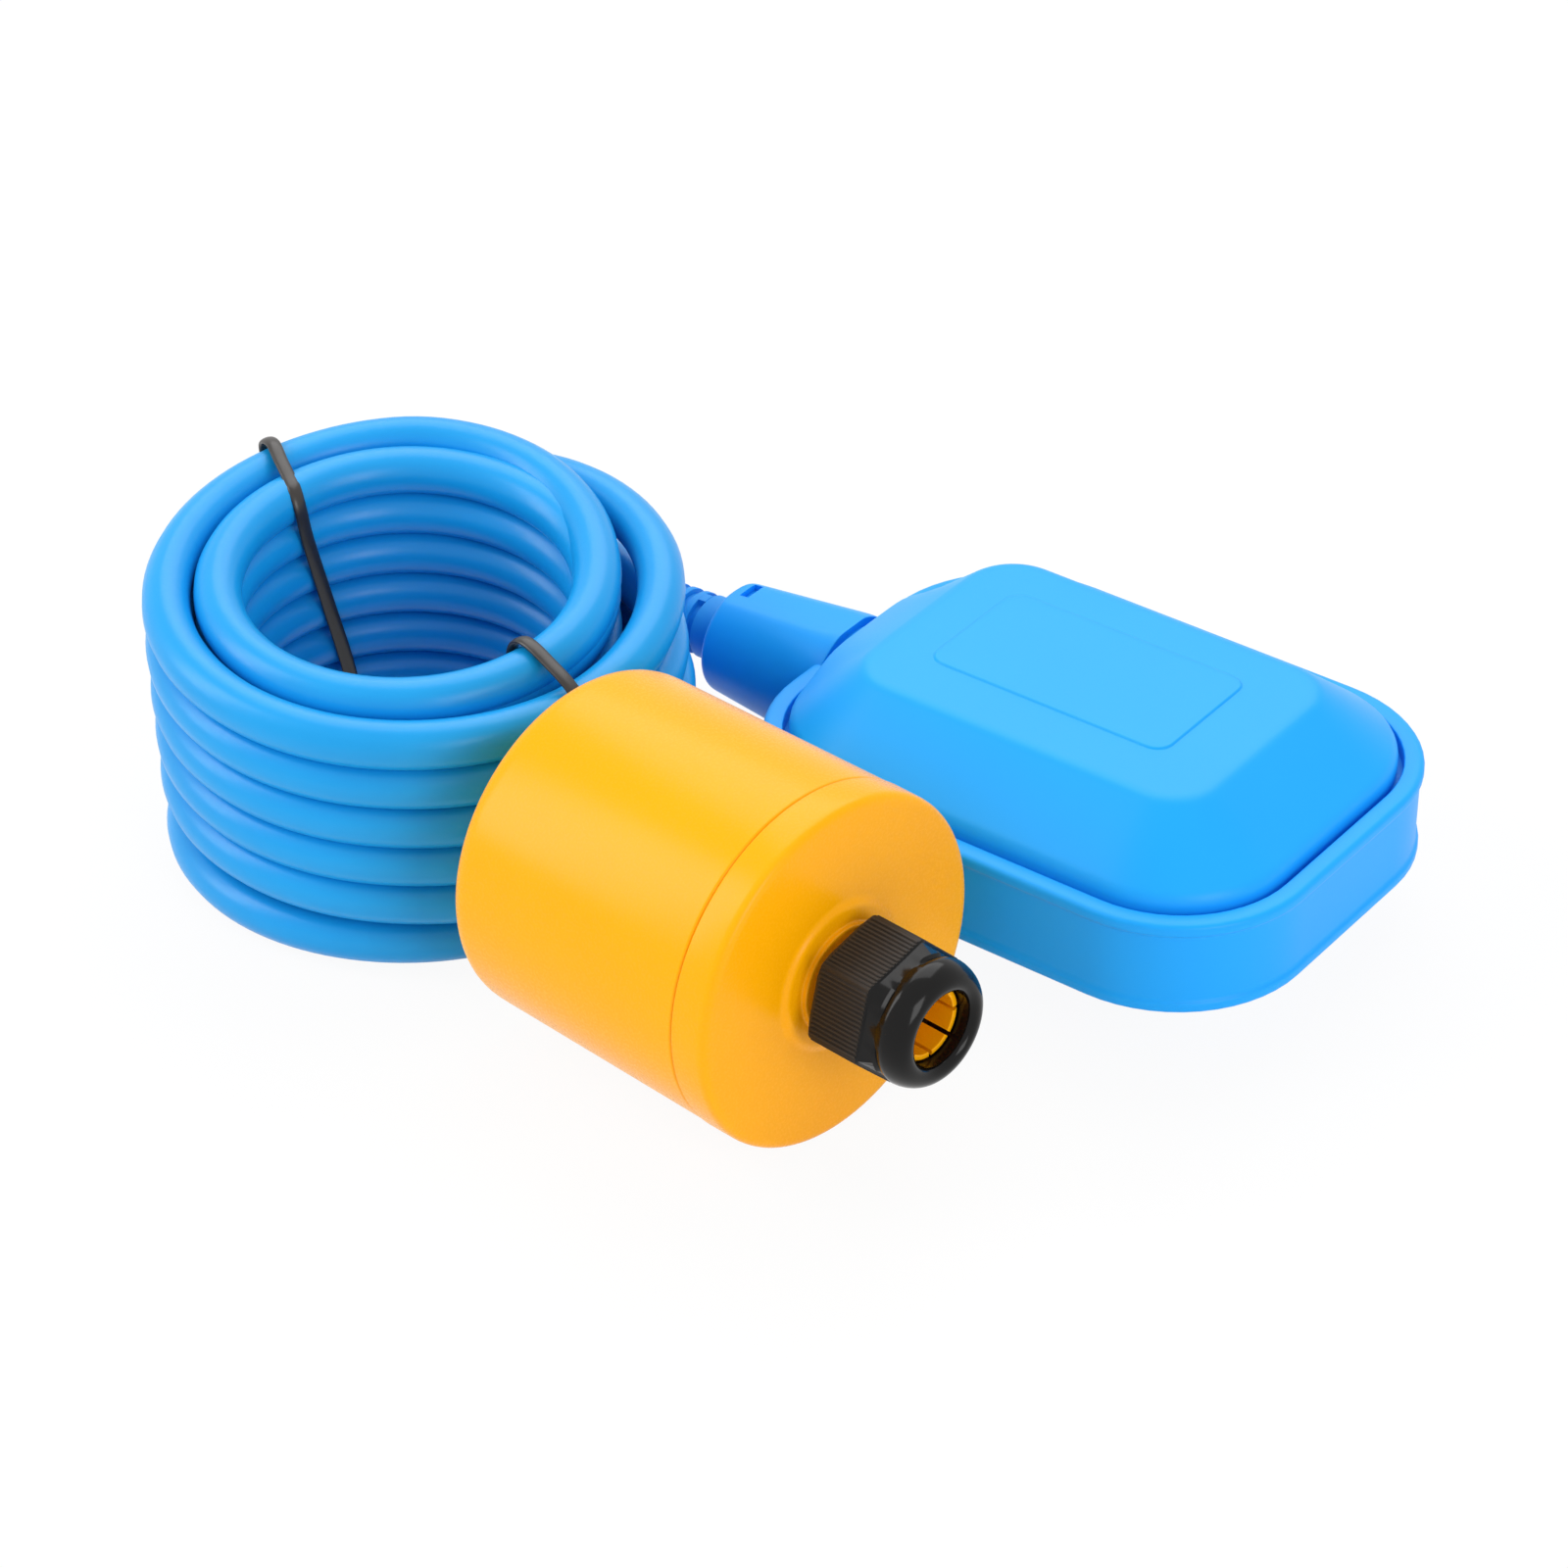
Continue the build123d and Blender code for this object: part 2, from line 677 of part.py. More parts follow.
# Cut end of the cable: three cores of different length with bare copper, lying in the notch
bare = []
for name, spot, share in zip(core_names, core_spots, (1.0, 0.82, 0.66)):
    core_span = share * (end_notch_span - 2 * bare_end_span)
    place = (coil_outer_turn + spot[0], level_heights[1] + spot[1])
    core_section = Plane.XZ * (Pos(*place) * round_section(core_diameter / 2, core_sides))
    copper_section = Plane.XZ * (Pos(*place) * round_section(copper_diameter / 2, core_sides))
    core = coil_centre * (Rot(0, 0, end_angle) * revolve(core_section, Axis.Z, core_span))
    tip = coil_centre * (Rot(0, 0, end_angle + core_span) * revolve(copper_section, Axis.Z, bare_end_span))
    save(core, f"end_core_{name}")
    bare.append(tip)
save(Compound(bare), "copper_ends")


def turn_height(middle, radius, slope, angle):
    """Height of a sloping top turn at one angle round the coil."""
    return middle + radius * math.tan(math.radians(slope)) * math.cos(math.radians(angle - coil_back_angle))


def passing_spot(path, angle):
    """Radius and height at which a route passes one angle round the coil."""
    places = [path @ (step / 400) - Vector(coil_x, coil_y, 0) for step in range(401)]
    nearest = min(places, key=lambda place: abs(math.degrees(math.atan2(place.Y, place.X)) % 360 - angle))
    return math.hypot(nearest.X, nearest.Y), nearest.Z


def round_hull(spots, radius):
    """Outline stretched round equal circles."""
    circles = Sketch() + [Pos(*spot) * Circle(radius) for spot in spots]
    return make_hull(circles.edges())


# Two ties round the bundle of turns; the back one also takes in the lead, and each has a twisted end
tie_inside = cable_radius + tie_clearance
tie_reach = tie_inside + tie_thickness + 0.4 * tie_head_depth
lead_r, lead_z = passing_spot(lead_path, tie_back_angle)
low_back = (lead_r + tie_lead_slack, lead_z)
low_front = (coil_outer_turn, turn_z)
head_back = (low_back[0] + tie_reach, lead_z)
head_front = (coil_inner_turn - tie_reach, level_heights[3])
tie_places = (
    ("tie_back", tie_back_angle, low_back, head_back),
    ("tie_front", tie_front_angle, low_front, head_front),
)
for name, angle, low_spot, head_spot in tie_places:
    spots = (
        (coil_inner_turn, turn_z),
        low_spot,
        (coil_outer_turn, turn_height(outer_mid, coil_outer_turn, outer_slope, angle)),
        (coil_inner_turn, turn_height(inner_mid, coil_inner_turn, inner_slope, angle)),
    )
    loop = round_hull(spots, tie_inside + tie_thickness) - round_hull(spots, tie_inside)
    tie = extrude(Plane.XZ * loop, tie_width / 2, both=True)
    tie += Pos(head_spot[0], 0, head_spot[1]) * Box(tie_head_depth, tie_head, tie_head)
    save(coil_centre * (Rot(0, 0, angle) * tie), name)

# Counterweight lying on its side: the edge of the cap and the rear of the cup both touch the floor
rear = -weight_length
seam = -cap_depth
cup_radius = weight_radius - cup_step
rear_radius = cup_radius - cup_draft
touch_x = rear + cup_end_round
touch_radius = rear_radius + cup_draft * (touch_x - rear) / (seam - rear)
weight_lean = math.atan2(weight_radius - touch_radius, seam - touch_x)
weight_height = weight_radius * math.cos(weight_lean) - seam * math.sin(weight_lean)
print("weight lean", round(math.degrees(weight_lean), 3), "height", round(weight_height, 3))


def weight_place(shape):
    """Puts a piece built along X from the weight's front face where the weight lies."""
    lean = Rot(0, -math.degrees(weight_lean), 0)
    return Pos(weight_x, weight_y, weight_height) * (Rot(0, 0, weight_angle) * (lean * shape))


# Weight cup: moulded shell with a guide tube up its middle
guide_radius = weight_bore + guide_wall
cup_end_centre = (rear + cup_end_round, rear_radius - cup_end_round)
cup = turned(
    [
        (seam, cup_radius - cup_wall),
        (seam, cup_radius),
        *arc_points(cup_end_centre, cup_end_round, 90, 180, 5),
        (rear, weight_bore),
        (seam, weight_bore),
        (seam, guide_radius),
        (rear + cup_end_wall, guide_radius),
        (rear + cup_end_wall, rear_radius - cup_end_round),
        (rear + cup_end_round, rear_radius - cup_wall),
    ]
)
save(weight_place(cup), "weight_cup")

# Weight cap: plug into the cup, hub over the guide tube, threaded neck and clamping claws in one
plug_radius = cup_radius - cup_wall - plug_clearance
hub_radius = guide_radius + hub_wall
claw_tip = thread_length + claw_length
cap_front_centre = (-cap_front_round, weight_radius - cap_front_round)
cap = turned(
    [
        (claw_tip, weight_bore),
        (claw_tip, claw_radius),
        (thread_length, thread_radius - thread_step),
        (thread_length, thread_radius),
        (boss_height, thread_radius),
        (boss_height, boss_radius),
        (0, boss_radius),
        *arc_points(cap_front_centre, cap_front_round, 0, 90, 4),
        (seam, weight_radius),
        (seam, plug_radius),
        (seam - plug_depth, plug_radius),
        (seam - plug_depth, plug_radius - plug_wall),
        (-cap_plate, plug_radius - plug_wall),
        (-cap_plate, hub_radius),
        (seam - hub_depth, hub_radius),
        (seam - hub_depth, guide_radius + sleeve_clearance),
        (seam, guide_radius + sleeve_clearance),
        (seam, weight_bore),
    ]
)
for index in range(claw_count // 2):
    slit_place = Pos(thread_length + claw_length / 2 + 0.5, 0, 0)
    slit = slit_place * Box(claw_length + 1, 2 * thread_radius, claw_slit)
    cap = cap - Rot(index * 360 / claw_count, 0, 0) * slit
save(weight_place(cap), "weight_cap")

# Ballast sleeve on the guide tube, between the cup's end wall and the cap's hub
sleeve_hole = guide_radius + ballast_clearance
ballast = turned(
    [
        (rear + cup_end_wall, sleeve_hole),
        (rear + cup_end_wall, ballast_radius),
        (seam - hub_depth, ballast_radius),
        (seam - hub_depth, sleeve_hole),
    ]
)
save(weight_place(ballast), "ballast_sleeve")

# Clamping nut: hexagon and round dome, open at the mouth and hollow over the thread and claws
nut_start = boss_height + nut_standoff
hex_end = nut_start + nut_hex_length
nut_end = hex_end + nut_dome_length
hexagon_outline = RegularPolygon(nut_across_flats / 2, 6, major_radius=False)
hexagon = extrude(Plane.YZ.offset(nut_start) * hexagon_outline, nut_hex_length)
hexagon = Rot(nut_turn, 0, 0) * hexagon & rod_x(nut_corner_radius, nut_start, hex_end, z=0)
dome_depth = nut_dome_radius - nut_mouth
dome_shape = turned(
    [
        (hex_end, nut_mouth),
        (hex_end, nut_dome_radius - nut_dome_step),
        (hex_end + 0.3 * nut_dome_length, nut_dome_radius),
        *[
            (hex_end + along * nut_dome_length, nut_mouth + out * dome_depth)
            for along, out in ((0.62, 0.93), (0.86, 0.72), (1.0, 0.4), (0.98, 0.16), (0.9, 0.0))
        ],
    ]
)
nut_hollow = turned(
    [
        (nut_start, 0),
        (nut_start, thread_radius + nut_clearance),
        (thread_length + nut_clearance, thread_radius + nut_clearance),
        (claw_tip + nut_clearance, claw_radius + 1.2 * nut_clearance),
        (claw_tip + nut_clearance, nut_mouth),
        (nut_end + 1, nut_mouth),
        (nut_end + 1, 0),
    ]
)
save(weight_place(hexagon + dome_shape - nut_hollow), "dome_nut")
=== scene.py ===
import math

import bmesh
import bpy
from mathutils import Matrix, Vector


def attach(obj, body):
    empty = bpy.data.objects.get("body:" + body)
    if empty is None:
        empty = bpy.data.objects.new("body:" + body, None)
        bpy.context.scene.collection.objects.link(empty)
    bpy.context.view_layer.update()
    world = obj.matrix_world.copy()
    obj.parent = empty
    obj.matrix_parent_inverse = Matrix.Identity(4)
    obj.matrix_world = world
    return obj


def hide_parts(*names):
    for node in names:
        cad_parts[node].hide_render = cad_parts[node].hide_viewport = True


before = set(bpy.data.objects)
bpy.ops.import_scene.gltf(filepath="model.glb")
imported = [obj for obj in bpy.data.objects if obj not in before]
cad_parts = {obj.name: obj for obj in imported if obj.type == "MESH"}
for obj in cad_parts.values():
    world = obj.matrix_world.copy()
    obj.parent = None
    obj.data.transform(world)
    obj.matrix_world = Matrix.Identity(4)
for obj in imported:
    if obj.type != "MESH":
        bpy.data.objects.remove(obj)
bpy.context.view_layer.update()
mm = 0.001

# Camera: it looks down on the float, the weight and the coil from the front right, with a
# long lens, as for a catalogue picture.
camera_data = bpy.data.cameras.new("camera")
camera_data.lens = 112.75
camera_data.sensor_width = 36.0
camera_data.clip_end = 20.0
camera = bpy.data.objects.new("camera", camera_data)
bpy.context.collection.objects.link(camera)
camera.location = Vector((368.1, -577.7, 493.4)) * mm
look_at = Vector((-59.12, -7.49, 0.0)) * mm
camera.rotation_euler = (look_at - camera.location).to_track_quat("-Z", "Y").to_euler()
bpy.context.scene.camera = camera
bpy.context.scene.view_settings.view_transform = "Standard"


# Floor and light: a sweep of white paper under three soft lamps. Paper and surroundings are plain
# white where they are seen, also in a mirror or through glass, and the paper keeps a faint shadow.
def srgb(code):
    """Linear colour with alpha from an sRGB hex code."""
    channels = [int(code[i:i + 2], 16) / 255 for i in (1, 3, 5)]
    return tuple(c / 12.92 if c <= 0.04045 else ((c + 0.055) / 1.055) ** 2.4 for c in channels) + (1.0,)


def add(tree, kind, links=None, values=None, **settings):
    """Adds one node with its settings, input values and incoming links."""
    made = tree.nodes.new(kind)
    for name, value in settings.items():
        setattr(made, name, value)
    for socket, value in (values or {}).items():
        made.inputs[socket].default_value = value
    for socket, source in (links or {}).items():
        tree.links.new(source, made.inputs[socket])
    return made


def new_material(name):
    """Empty node material with its output."""
    material = bpy.data.materials.new(name)
    material.use_nodes = True
    material.node_tree.nodes.clear()
    output = material.node_tree.nodes.new("ShaderNodeOutputMaterial")
    return material, material.node_tree, output


def seen_rays(tree):
    """1 for what the camera sees, itself or in a mirror or through glass, and 0 for light on things."""
    rays = add(tree, "ShaderNodeLightPath")
    seen = add(tree, "ShaderNodeMath", {0: rays.outputs["Is Camera Ray"], 1: rays.outputs["Is Glossy Ray"]},
               operation="MAXIMUM")
    return add(tree, "ShaderNodeMath", {0: seen.outputs[0], 1: rays.outputs["Is Transmission Ray"]},
               operation="MAXIMUM").outputs[0]


glow_share = 0.93
paper, tree, output = new_material("white paper")
share = add(tree, "ShaderNodeMath", {0: seen_rays(tree)}, {1: glow_share}, operation="MULTIPLY")
matt = add(tree, "ShaderNodeBsdfDiffuse", values={"Color": srgb("#F4F4F4")})
white = add(tree, "ShaderNodeEmission", values={"Color": (1, 1, 1, 1), "Strength": 1.0})
mixed = add(tree, "ShaderNodeMixShader", {0: share.outputs[0], 1: matt.outputs[0], 2: white.outputs[0]})
tree.links.new(mixed.outputs[0], output.inputs["Surface"])

bpy.ops.mesh.primitive_plane_add(size=12.0, location=(0, 0, 0))
floor = bpy.context.object
floor.name = "floor"
floor.data.materials.append(paper)

world = bpy.data.worlds.new("studio")
bpy.context.scene.world = world
world.use_nodes = True
tree = world.node_tree
tree.nodes.clear()
light_on_things, light_seen = 0.58, 1.0
lit = add(tree, "ShaderNodeBackground", values={"Color": (1, 1, 1, 1), "Strength": light_on_things})
seen = add(tree, "ShaderNodeBackground", values={"Color": (1, 1, 1, 1), "Strength": light_seen})
sky = add(tree, "ShaderNodeMixShader", {0: seen_rays(tree), 1: lit.outputs[0], 2: seen.outputs[0]})
add(tree, "ShaderNodeOutputWorld", {"Surface": sky.outputs[0]})


def soft_lamp(name, place, aim, width, height, power):
    """Rectangular lamp that faces a point."""
    data = bpy.data.lights.new(name, "AREA")
    data.shape = "RECTANGLE"
    data.size = width
    data.size_y = height
    data.energy = power
    lamp = bpy.data.objects.new(name, data)
    bpy.context.collection.objects.link(lamp)
    lamp.location = Vector(place)
    lamp.rotation_euler = (Vector(aim) - lamp.location).to_track_quat("-Z", "Y").to_euler()


lamp_aim = (-0.05, -0.03, 0.02)
soft_lamp("top lamp", (-0.45, 0.65, 1.15), lamp_aim, 1.2, 1.2, 11.0)
soft_lamp("left lamp", (-1.0, -0.75, 0.75), lamp_aim, 0.5, 1.1, 9.0)
soft_lamp("right lamp", (1.15, -0.5, 0.6), lamp_aim, 0.6, 0.8, 6.5)


# Switch capsule: a sealed box of white ABS inside the float, with its lid. Moulded smooth; its
# faint clouding and fine texture keep it from looking like card.
def moulded(name, colour, second, roughness, cloud_mm, grain_mm, grain_depth, specular=0.5, ior=1.5):
    """Moulded plastic: two close tones in soft clouds, and the fine spark-eroded texture of the tool."""
    material, tree, output = new_material(name)
    place = add(tree, "ShaderNodeTexCoord")
    cloud = add(tree, "ShaderNodeTexNoise", {"Vector": place.outputs["Object"]},
                {"Scale": 1000 / cloud_mm, "Detail": 2.0})
    grain = add(tree, "ShaderNodeTexNoise", {"Vector": place.outputs["Object"]},
                {"Scale": 1000 / grain_mm, "Detail": 3.0})
    tone = add(tree, "ShaderNodeMix", {"Factor": cloud.outputs["Fac"]}, data_type="RGBA")
    tone.inputs["A"].default_value = srgb(colour)
    tone.inputs["B"].default_value = srgb(second)
    dull = add(tree, "ShaderNodeMapRange", {"Value": grain.outputs["Fac"]},
               {"To Min": roughness - 0.05, "To Max": roughness + 0.05})
    texture = add(tree, "ShaderNodeBump", {"Height": grain.outputs["Fac"]},
                  {"Strength": 0.35, "Distance": grain_depth * mm})
    surface = add(tree, "ShaderNodeBsdfPrincipled",
                  {"Base Color": tone.outputs["Result"], "Roughness": dull.outputs["Result"],
                   "Normal": texture.outputs["Normal"]},
                  {"IOR": ior, "Specular IOR Level": specular})
    tree.links.new(surface.outputs[0], output.inputs["Surface"])
    return material


def finish_node(name, material):
    """Gives a solid that is shown as it is its own material."""
    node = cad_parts[name]
    if not node.material_slots:
        node.data.materials.append(material)
    for place in node.material_slots:
        place.material = material


white_abs = moulded("moulded white ABS", "#E9E6DC", "#DEDACF", 0.45, 14.0, 0.4, 0.02)
finish_node("capsule_tray", white_abs)
finish_node("capsule_lid", white_abs)

# Ball track: slotted tube of natural nylon that guides the ball, moulded in one with its closed
# end. Unfilled nylon is slightly waxy and a little yellow.
natural_nylon = moulded("natural nylon", "#DCD6C2", "#D0C9B2", 0.38, 9.0, 0.35, 0.015)
finish_node("ball_track", natural_nylon)


# Steel ball: hardened and lapped, so it mirrors, with the faint haze of handling. The lever and its
# pin are stainless strip and wire, drawn along their length; the lever's grain runs across the float.
def worked_metal(name, colour, roughness, stretch, streak_mm, streak_depth):
    """Metal with fine marks; stretch gives how long they run along X, Y and Z."""
    material, tree, output = new_material(name)
    place = add(tree, "ShaderNodeTexCoord")
    along = add(tree, "ShaderNodeMapping", {"Vector": place.outputs["Object"]}, {"Scale": stretch})
    marks = add(tree, "ShaderNodeTexNoise", {"Vector": along.outputs["Vector"]},
                {"Scale": 1000 / streak_mm, "Detail": 4.0})
    dull = add(tree, "ShaderNodeMapRange", {"Value": marks.outputs["Fac"]},
               {"To Min": roughness * 0.75, "To Max": roughness * 1.25})
    texture = add(tree, "ShaderNodeBump", {"Height": marks.outputs["Fac"]},
                  {"Strength": 0.3, "Distance": streak_depth * mm})
    surface = add(tree, "ShaderNodeBsdfPrincipled",
                  {"Roughness": dull.outputs["Result"], "Normal": texture.outputs["Normal"]},
                  {"Base Color": srgb(colour), "Metallic": 1.0})
    tree.links.new(surface.outputs[0], output.inputs["Surface"])
    return material


finish_node("steel_ball", worked_metal("lapped ball steel", "#C9CBCF", 0.09, (1, 1, 1), 3.0, 0.004))
finish_node("switch_lever", worked_metal("rolled stainless strip", "#B9BBBE", 0.3, (1, 0.05, 1), 0.3, 0.01))
finish_node("lever_pin", worked_metal("drawn stainless wire", "#A9ABAF", 0.26, (1, 1, 0.05), 0.25, 0.01))

# Switch case and plunger: black phenolic moulding with a grey, slightly mottled filler, and a red
# acetal plunger. The terminals are stamped brass, dulled by air.
finish_node("switch_case", moulded("black phenolic", "#1B1B1D", "#26262A", 0.5, 2.5, 0.3, 0.03))
finish_node("switch_plunger", moulded("red acetal", "#B52419", "#A51E16", 0.33, 3.0, 0.3, 0.01))
finish_node("switch_terminals", worked_metal("stamped brass", "#C9A95A", 0.34, (0.1, 1, 1), 0.4, 0.01))

# Seal in the neck: grommet of black nitrile rubber, pushed over the cable and squeezed in the
# socket. It is matt, with the fine bloom that rubber gets.
finish_node("neck_seal", moulded("black nitrile rubber", "#1D1D1D", "#2A2A2A", 0.72, 2.0, 0.25, 0.03, ior=1.52))


# Float body: the rim band, its underside and the posts for the capsule, moulded in one from azure
# polypropylene. The band has a shallow waist between two lips, and soft moulded edges.
def outline_ring(length, width, corner, height, shift=(0.0, 0.0), corner_steps=14, side_steps=16):
    """Points round a plate with rounded corners, always as many and in the same order."""
    points = []
    half = (length / 2 - corner, width / 2 - corner)
    corners = [(half[0], half[1], 0), (-half[0], half[1], 90),
               (-half[0], -half[1], 180), (half[0], -half[1], 270)]
    for x, y, start in corners:
        for step in range(corner_steps + 1):
            angle = math.radians(start + 90 * step / corner_steps)
            points.append((
                x + corner * math.cos(angle) + shift[0],
                y + corner * math.sin(angle) + shift[1],
                height,
            ))
        turn = math.radians(start + 90)
        reach = 2 * (half[1] if start in (90, 270) else half[0])
        for step in range(1, side_steps):
            run = reach * step / side_steps
            points.append((
                x + corner * math.cos(turn) - run * math.sin(turn) + shift[0],
                y + corner * math.sin(turn) + run * math.cos(turn) + shift[1],
                height,
            ))
    return points


def skinned(name, rings, closed=False):
    """Mesh through rings of points in millimetres, with filled ends or with the last ring on the first."""
    mesh = bpy.data.meshes.new(name)
    shape = bmesh.new()
    rows = [[shape.verts.new(Vector(point) * mm) for point in ring] for ring in rings]
    pairs = list(zip(rows, rows[1:])) + ([(rows[-1], rows[0])] if closed else [])
    for lower, upper in pairs:
        for a, b, c, d in zip(lower, lower[1:] + lower[:1], upper[1:] + upper[:1], upper):
            shape.faces.new((a, b, c, d))
    if not closed:
        shape.faces.new(list(reversed(rows[0])))
        shape.faces.new(rows[-1])
    bmesh.ops.recalc_face_normals(shape, faces=shape.faces)
    shape.to_mesh(mesh)
    shape.free()
    piece = bpy.data.objects.new(name, mesh)
    bpy.context.collection.objects.link(piece)
    return piece


def softened(path, corners, steps=5):
    """Path with chosen points rounded off: corners gives each one's index and the length taken."""
    points = []
    for index, point in enumerate(path):
        if index not in corners:
            points.append(Vector(point))
            continue
        here = Vector(point)
        before = Vector(path[index - 1]) - here
        after = Vector(path[(index + 1) % len(path)]) - here
        start = here + before.normalized() * min(corners[index], before.length * 0.5)
        end = here + after.normalized() * min(corners[index], after.length * 0.5)
        for step in range(steps + 1):
            share = step / steps
            points.append(start * (1 - share) ** 2 + here * 2 * share * (1 - share) + end * share ** 2)
    return points


def bake(piece):
    """Turns what the modifiers make into the piece's own mesh."""
    bpy.context.view_layer.update()
    depsgraph = bpy.context.evaluated_depsgraph_get()
    mesh = bpy.data.meshes.new_from_object(piece.evaluated_get(depsgraph))
    piece.modifiers.clear()
    piece.data = mesh


def cut_by(piece, tools, operation="DIFFERENCE"):
    """Cuts or joins pieces for good, and removes the tools."""
    for tool in tools:
        change = piece.modifiers.new("cut", "BOOLEAN")
        change.operation = operation
        change.solver = "EXACT"
        change.object = tool
    bake(piece)
    for tool in tools:
        bpy.data.objects.remove(tool)


def smoothed(piece, material, angle=32):
    """Smooth shading with edges kept where faces meet at more than this angle, and one material."""
    piece.data.materials.clear()
    piece.data.materials.append(material)
    piece.data.polygons.foreach_set("material_index", [0] * len(piece.data.polygons))
    piece.data.shade_smooth()
    piece.data.set_sharp_from_angle(angle=math.radians(angle))


neck_axis = 20.75


def round_bar(name, radius, start, end, sides=96):
    """Closed round bar on the neck's axis."""
    rings = []
    for x in (start, end):
        ring = []
        for k in range(sides):
            angle = math.tau * k / sides
            ring.append((x, radius * math.cos(angle), neck_axis + radius * math.sin(angle)))
        rings.append(ring)
    return skinned(name, rings)


def capsule_posts(bottom, top, radius=3.0, sides=32):
    """The four posts that hold the switch capsule, from one height to another."""
    posts = []
    for x in (-26, 26):
        for y in (-10, 10):
            circle = [(x + radius * math.cos(math.tau * k / sides), y + radius * math.sin(math.tau * k / sides))
                      for k in range(sides)]
            posts.append(skinned("post", [[(*spot, z) for spot in circle] for z in (bottom, top)]))
    return posts


# Outlines from above: length, width and corner radius. The dome's slope runs in from its foot to
# the plateau, and the walls inside follow it.
rim_length, rim_width, rim_corner = 103, 81, 25
dome_length, dome_width, dome_corner = 94, 72, 20.5
plateau_length, plateau_width, plateau_corner = 66, 45, 5.5
slope_run = 14
float_thickness = 41.5
rim_mouth = (89, 67, 18)
band_room = (98.6, 76.6, 22.8)
slope_foot_inside = (87.2, 65.2, 17.1)
slope_top_inside = (64.7, 43.7, 5.5)


def underside_ring(inset, height):
    """Ring of the dome below: inset 0 is its foot, slope_run its plateau's edge, and more is the plateau."""
    share = min(inset, slope_run) / slope_run
    beyond = max(inset - slope_run, 0)
    return outline_ring(
        dome_length - (dome_length - plateau_length) * share - 2 * beyond,
        dome_width - (dome_width - plateau_width) * share - 2 * beyond,
        max(dome_corner - (dome_corner - plateau_corner) * share - beyond, 0.8), height)


slope = softened([(0, 27.5), (0, 31.5), (slope_run, float_thickness), (22, float_thickness)], {1: 1.7, 2: 1.5})
dome_path = [(point.x, point.y) for point in slope[1:-1]]
underside = [underside_ring(inset, float_thickness - height) for inset, height in reversed(dome_path)]
band_path = softened(
    [(-4.0, 12.0), (0, 12.0), (0, 13.9), (-0.55, 14.5), (-0.55, 27.0), (0, 27.6), (0, 29.5), (-3.45, 29.5),
     (-3.45, 26.6), (-5.2, 26.6), (-5.2, 27.9), (-6.5, 27.9)],
    {1: 1.3, 2: 0.35, 3: 0.5, 4: 0.5, 5: 0.35, 6: 1.5, 7: 0.35})
band = [outline_ring(rim_length + 2 * point.x, rim_width + 2 * point.x, rim_corner + point.x, point.y)
        for point in band_path]
inside = [outline_ring(*outline, height) for outline, height in (
    (rim_mouth, 27.9), (rim_mouth, 25.8), (band_room, 25.8), (band_room, 14.2),
    (slope_foot_inside, 14.2), (slope_foot_inside, 10.2), (slope_top_inside, 2.0))]
float_shell = skinned("float_shell", underside + band + inside)
cut_by(float_shell, capsule_posts(1.0, 10.75), "UNION")
cut_by(float_shell, [round_bar("hole", 12.65, -80, -40)])
azure = moulded("moulded azure polypropylene", "#14A3FB", "#1BA7FC", 0.4, 30.0, 0.45, 0.012, specular=0.22)
smoothed(float_shell, azure)
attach(float_shell, "float")
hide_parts("float_body")

# Top cover: azure dome welded into the rim over a narrow groove. It slopes up to a plateau with a
# slightly raised pad for a label, left bare, and is cut out round the neck.
cover_foot = 28.0
cover_taper = 25.8
cover_corner_taper = 12
cover_shift = (-1.1, 0.6)
hood_lift = 3.2
hood_rise = 2.5
hood_half_width = 14.5
hood_from = -28
spigot = (88.7, 66.7, 17.85)
pad_length, pad_width, pad_corner = 47.4, 26.4, 3.2
pad_shift = (-2.6, 1.6)


def cover_ring(inset, height):
    """Ring of the cover: its plateau is drawn out towards the neck, where a hood lifts its foot."""
    share = min(inset, slope_run) / slope_run
    beyond = 2 * max(inset - slope_run, 0)
    ring = outline_ring(
        dome_length - cover_taper * share - beyond, dome_width - cover_taper * share - beyond,
        dome_corner - cover_corner_taper * share - beyond / 2, height,
        shift=(cover_shift[0] * share, cover_shift[1] * share))
    lift = hood_lift * (1 - share) * max(0.0, min(1.0, (height - cover_foot) / hood_rise))
    return [(x, y, z + (lift * math.exp(-(abs(y) / hood_half_width) ** 6) if x < hood_from else 0.0))
            for x, y, z in ring]


cover_rings = [outline_ring(*outline, height) for outline, height in (
    (slope_top_inside, 39.5), (slope_foot_inside, 31.3), (slope_foot_inside, 25.4), (spigot, 25.4),
    (spigot, cover_foot), ((dome_length, dome_width, dome_corner), cover_foot))]
cover_rings += [cover_ring(inset, height) for inset, height in dome_path]
pad_path = softened([(0.0, float_thickness), (0.25, 41.82), (2.0, 41.85)], {1: 0.2}, 3)
for point in pad_path:
    cover_rings.append(outline_ring(pad_length - 2 * point.x, pad_width - 2 * point.x,
                                    pad_corner - 0.5 * point.x, point.y, shift=pad_shift))
cover = skinned("dome_cover", cover_rings)
cut_by(cover, capsule_posts(32.75, 40.6), "UNION")
cut_by(cover, [round_bar("hole", 13.6, -80, -39)])
smoothed(cover, azure)
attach(cover, "float")
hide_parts("top_cover")

# Neck: tapered barrel of the same plastic that holds the cable's seal, screwed and glued in from
# inside behind a flange. A flat with a small notch runs along its top.
neck_end = -76
flat_rise = 9.25
flat_slope = math.tan(math.radians(6.42))
flat_ease = 0.22
cable_hole = 4.15


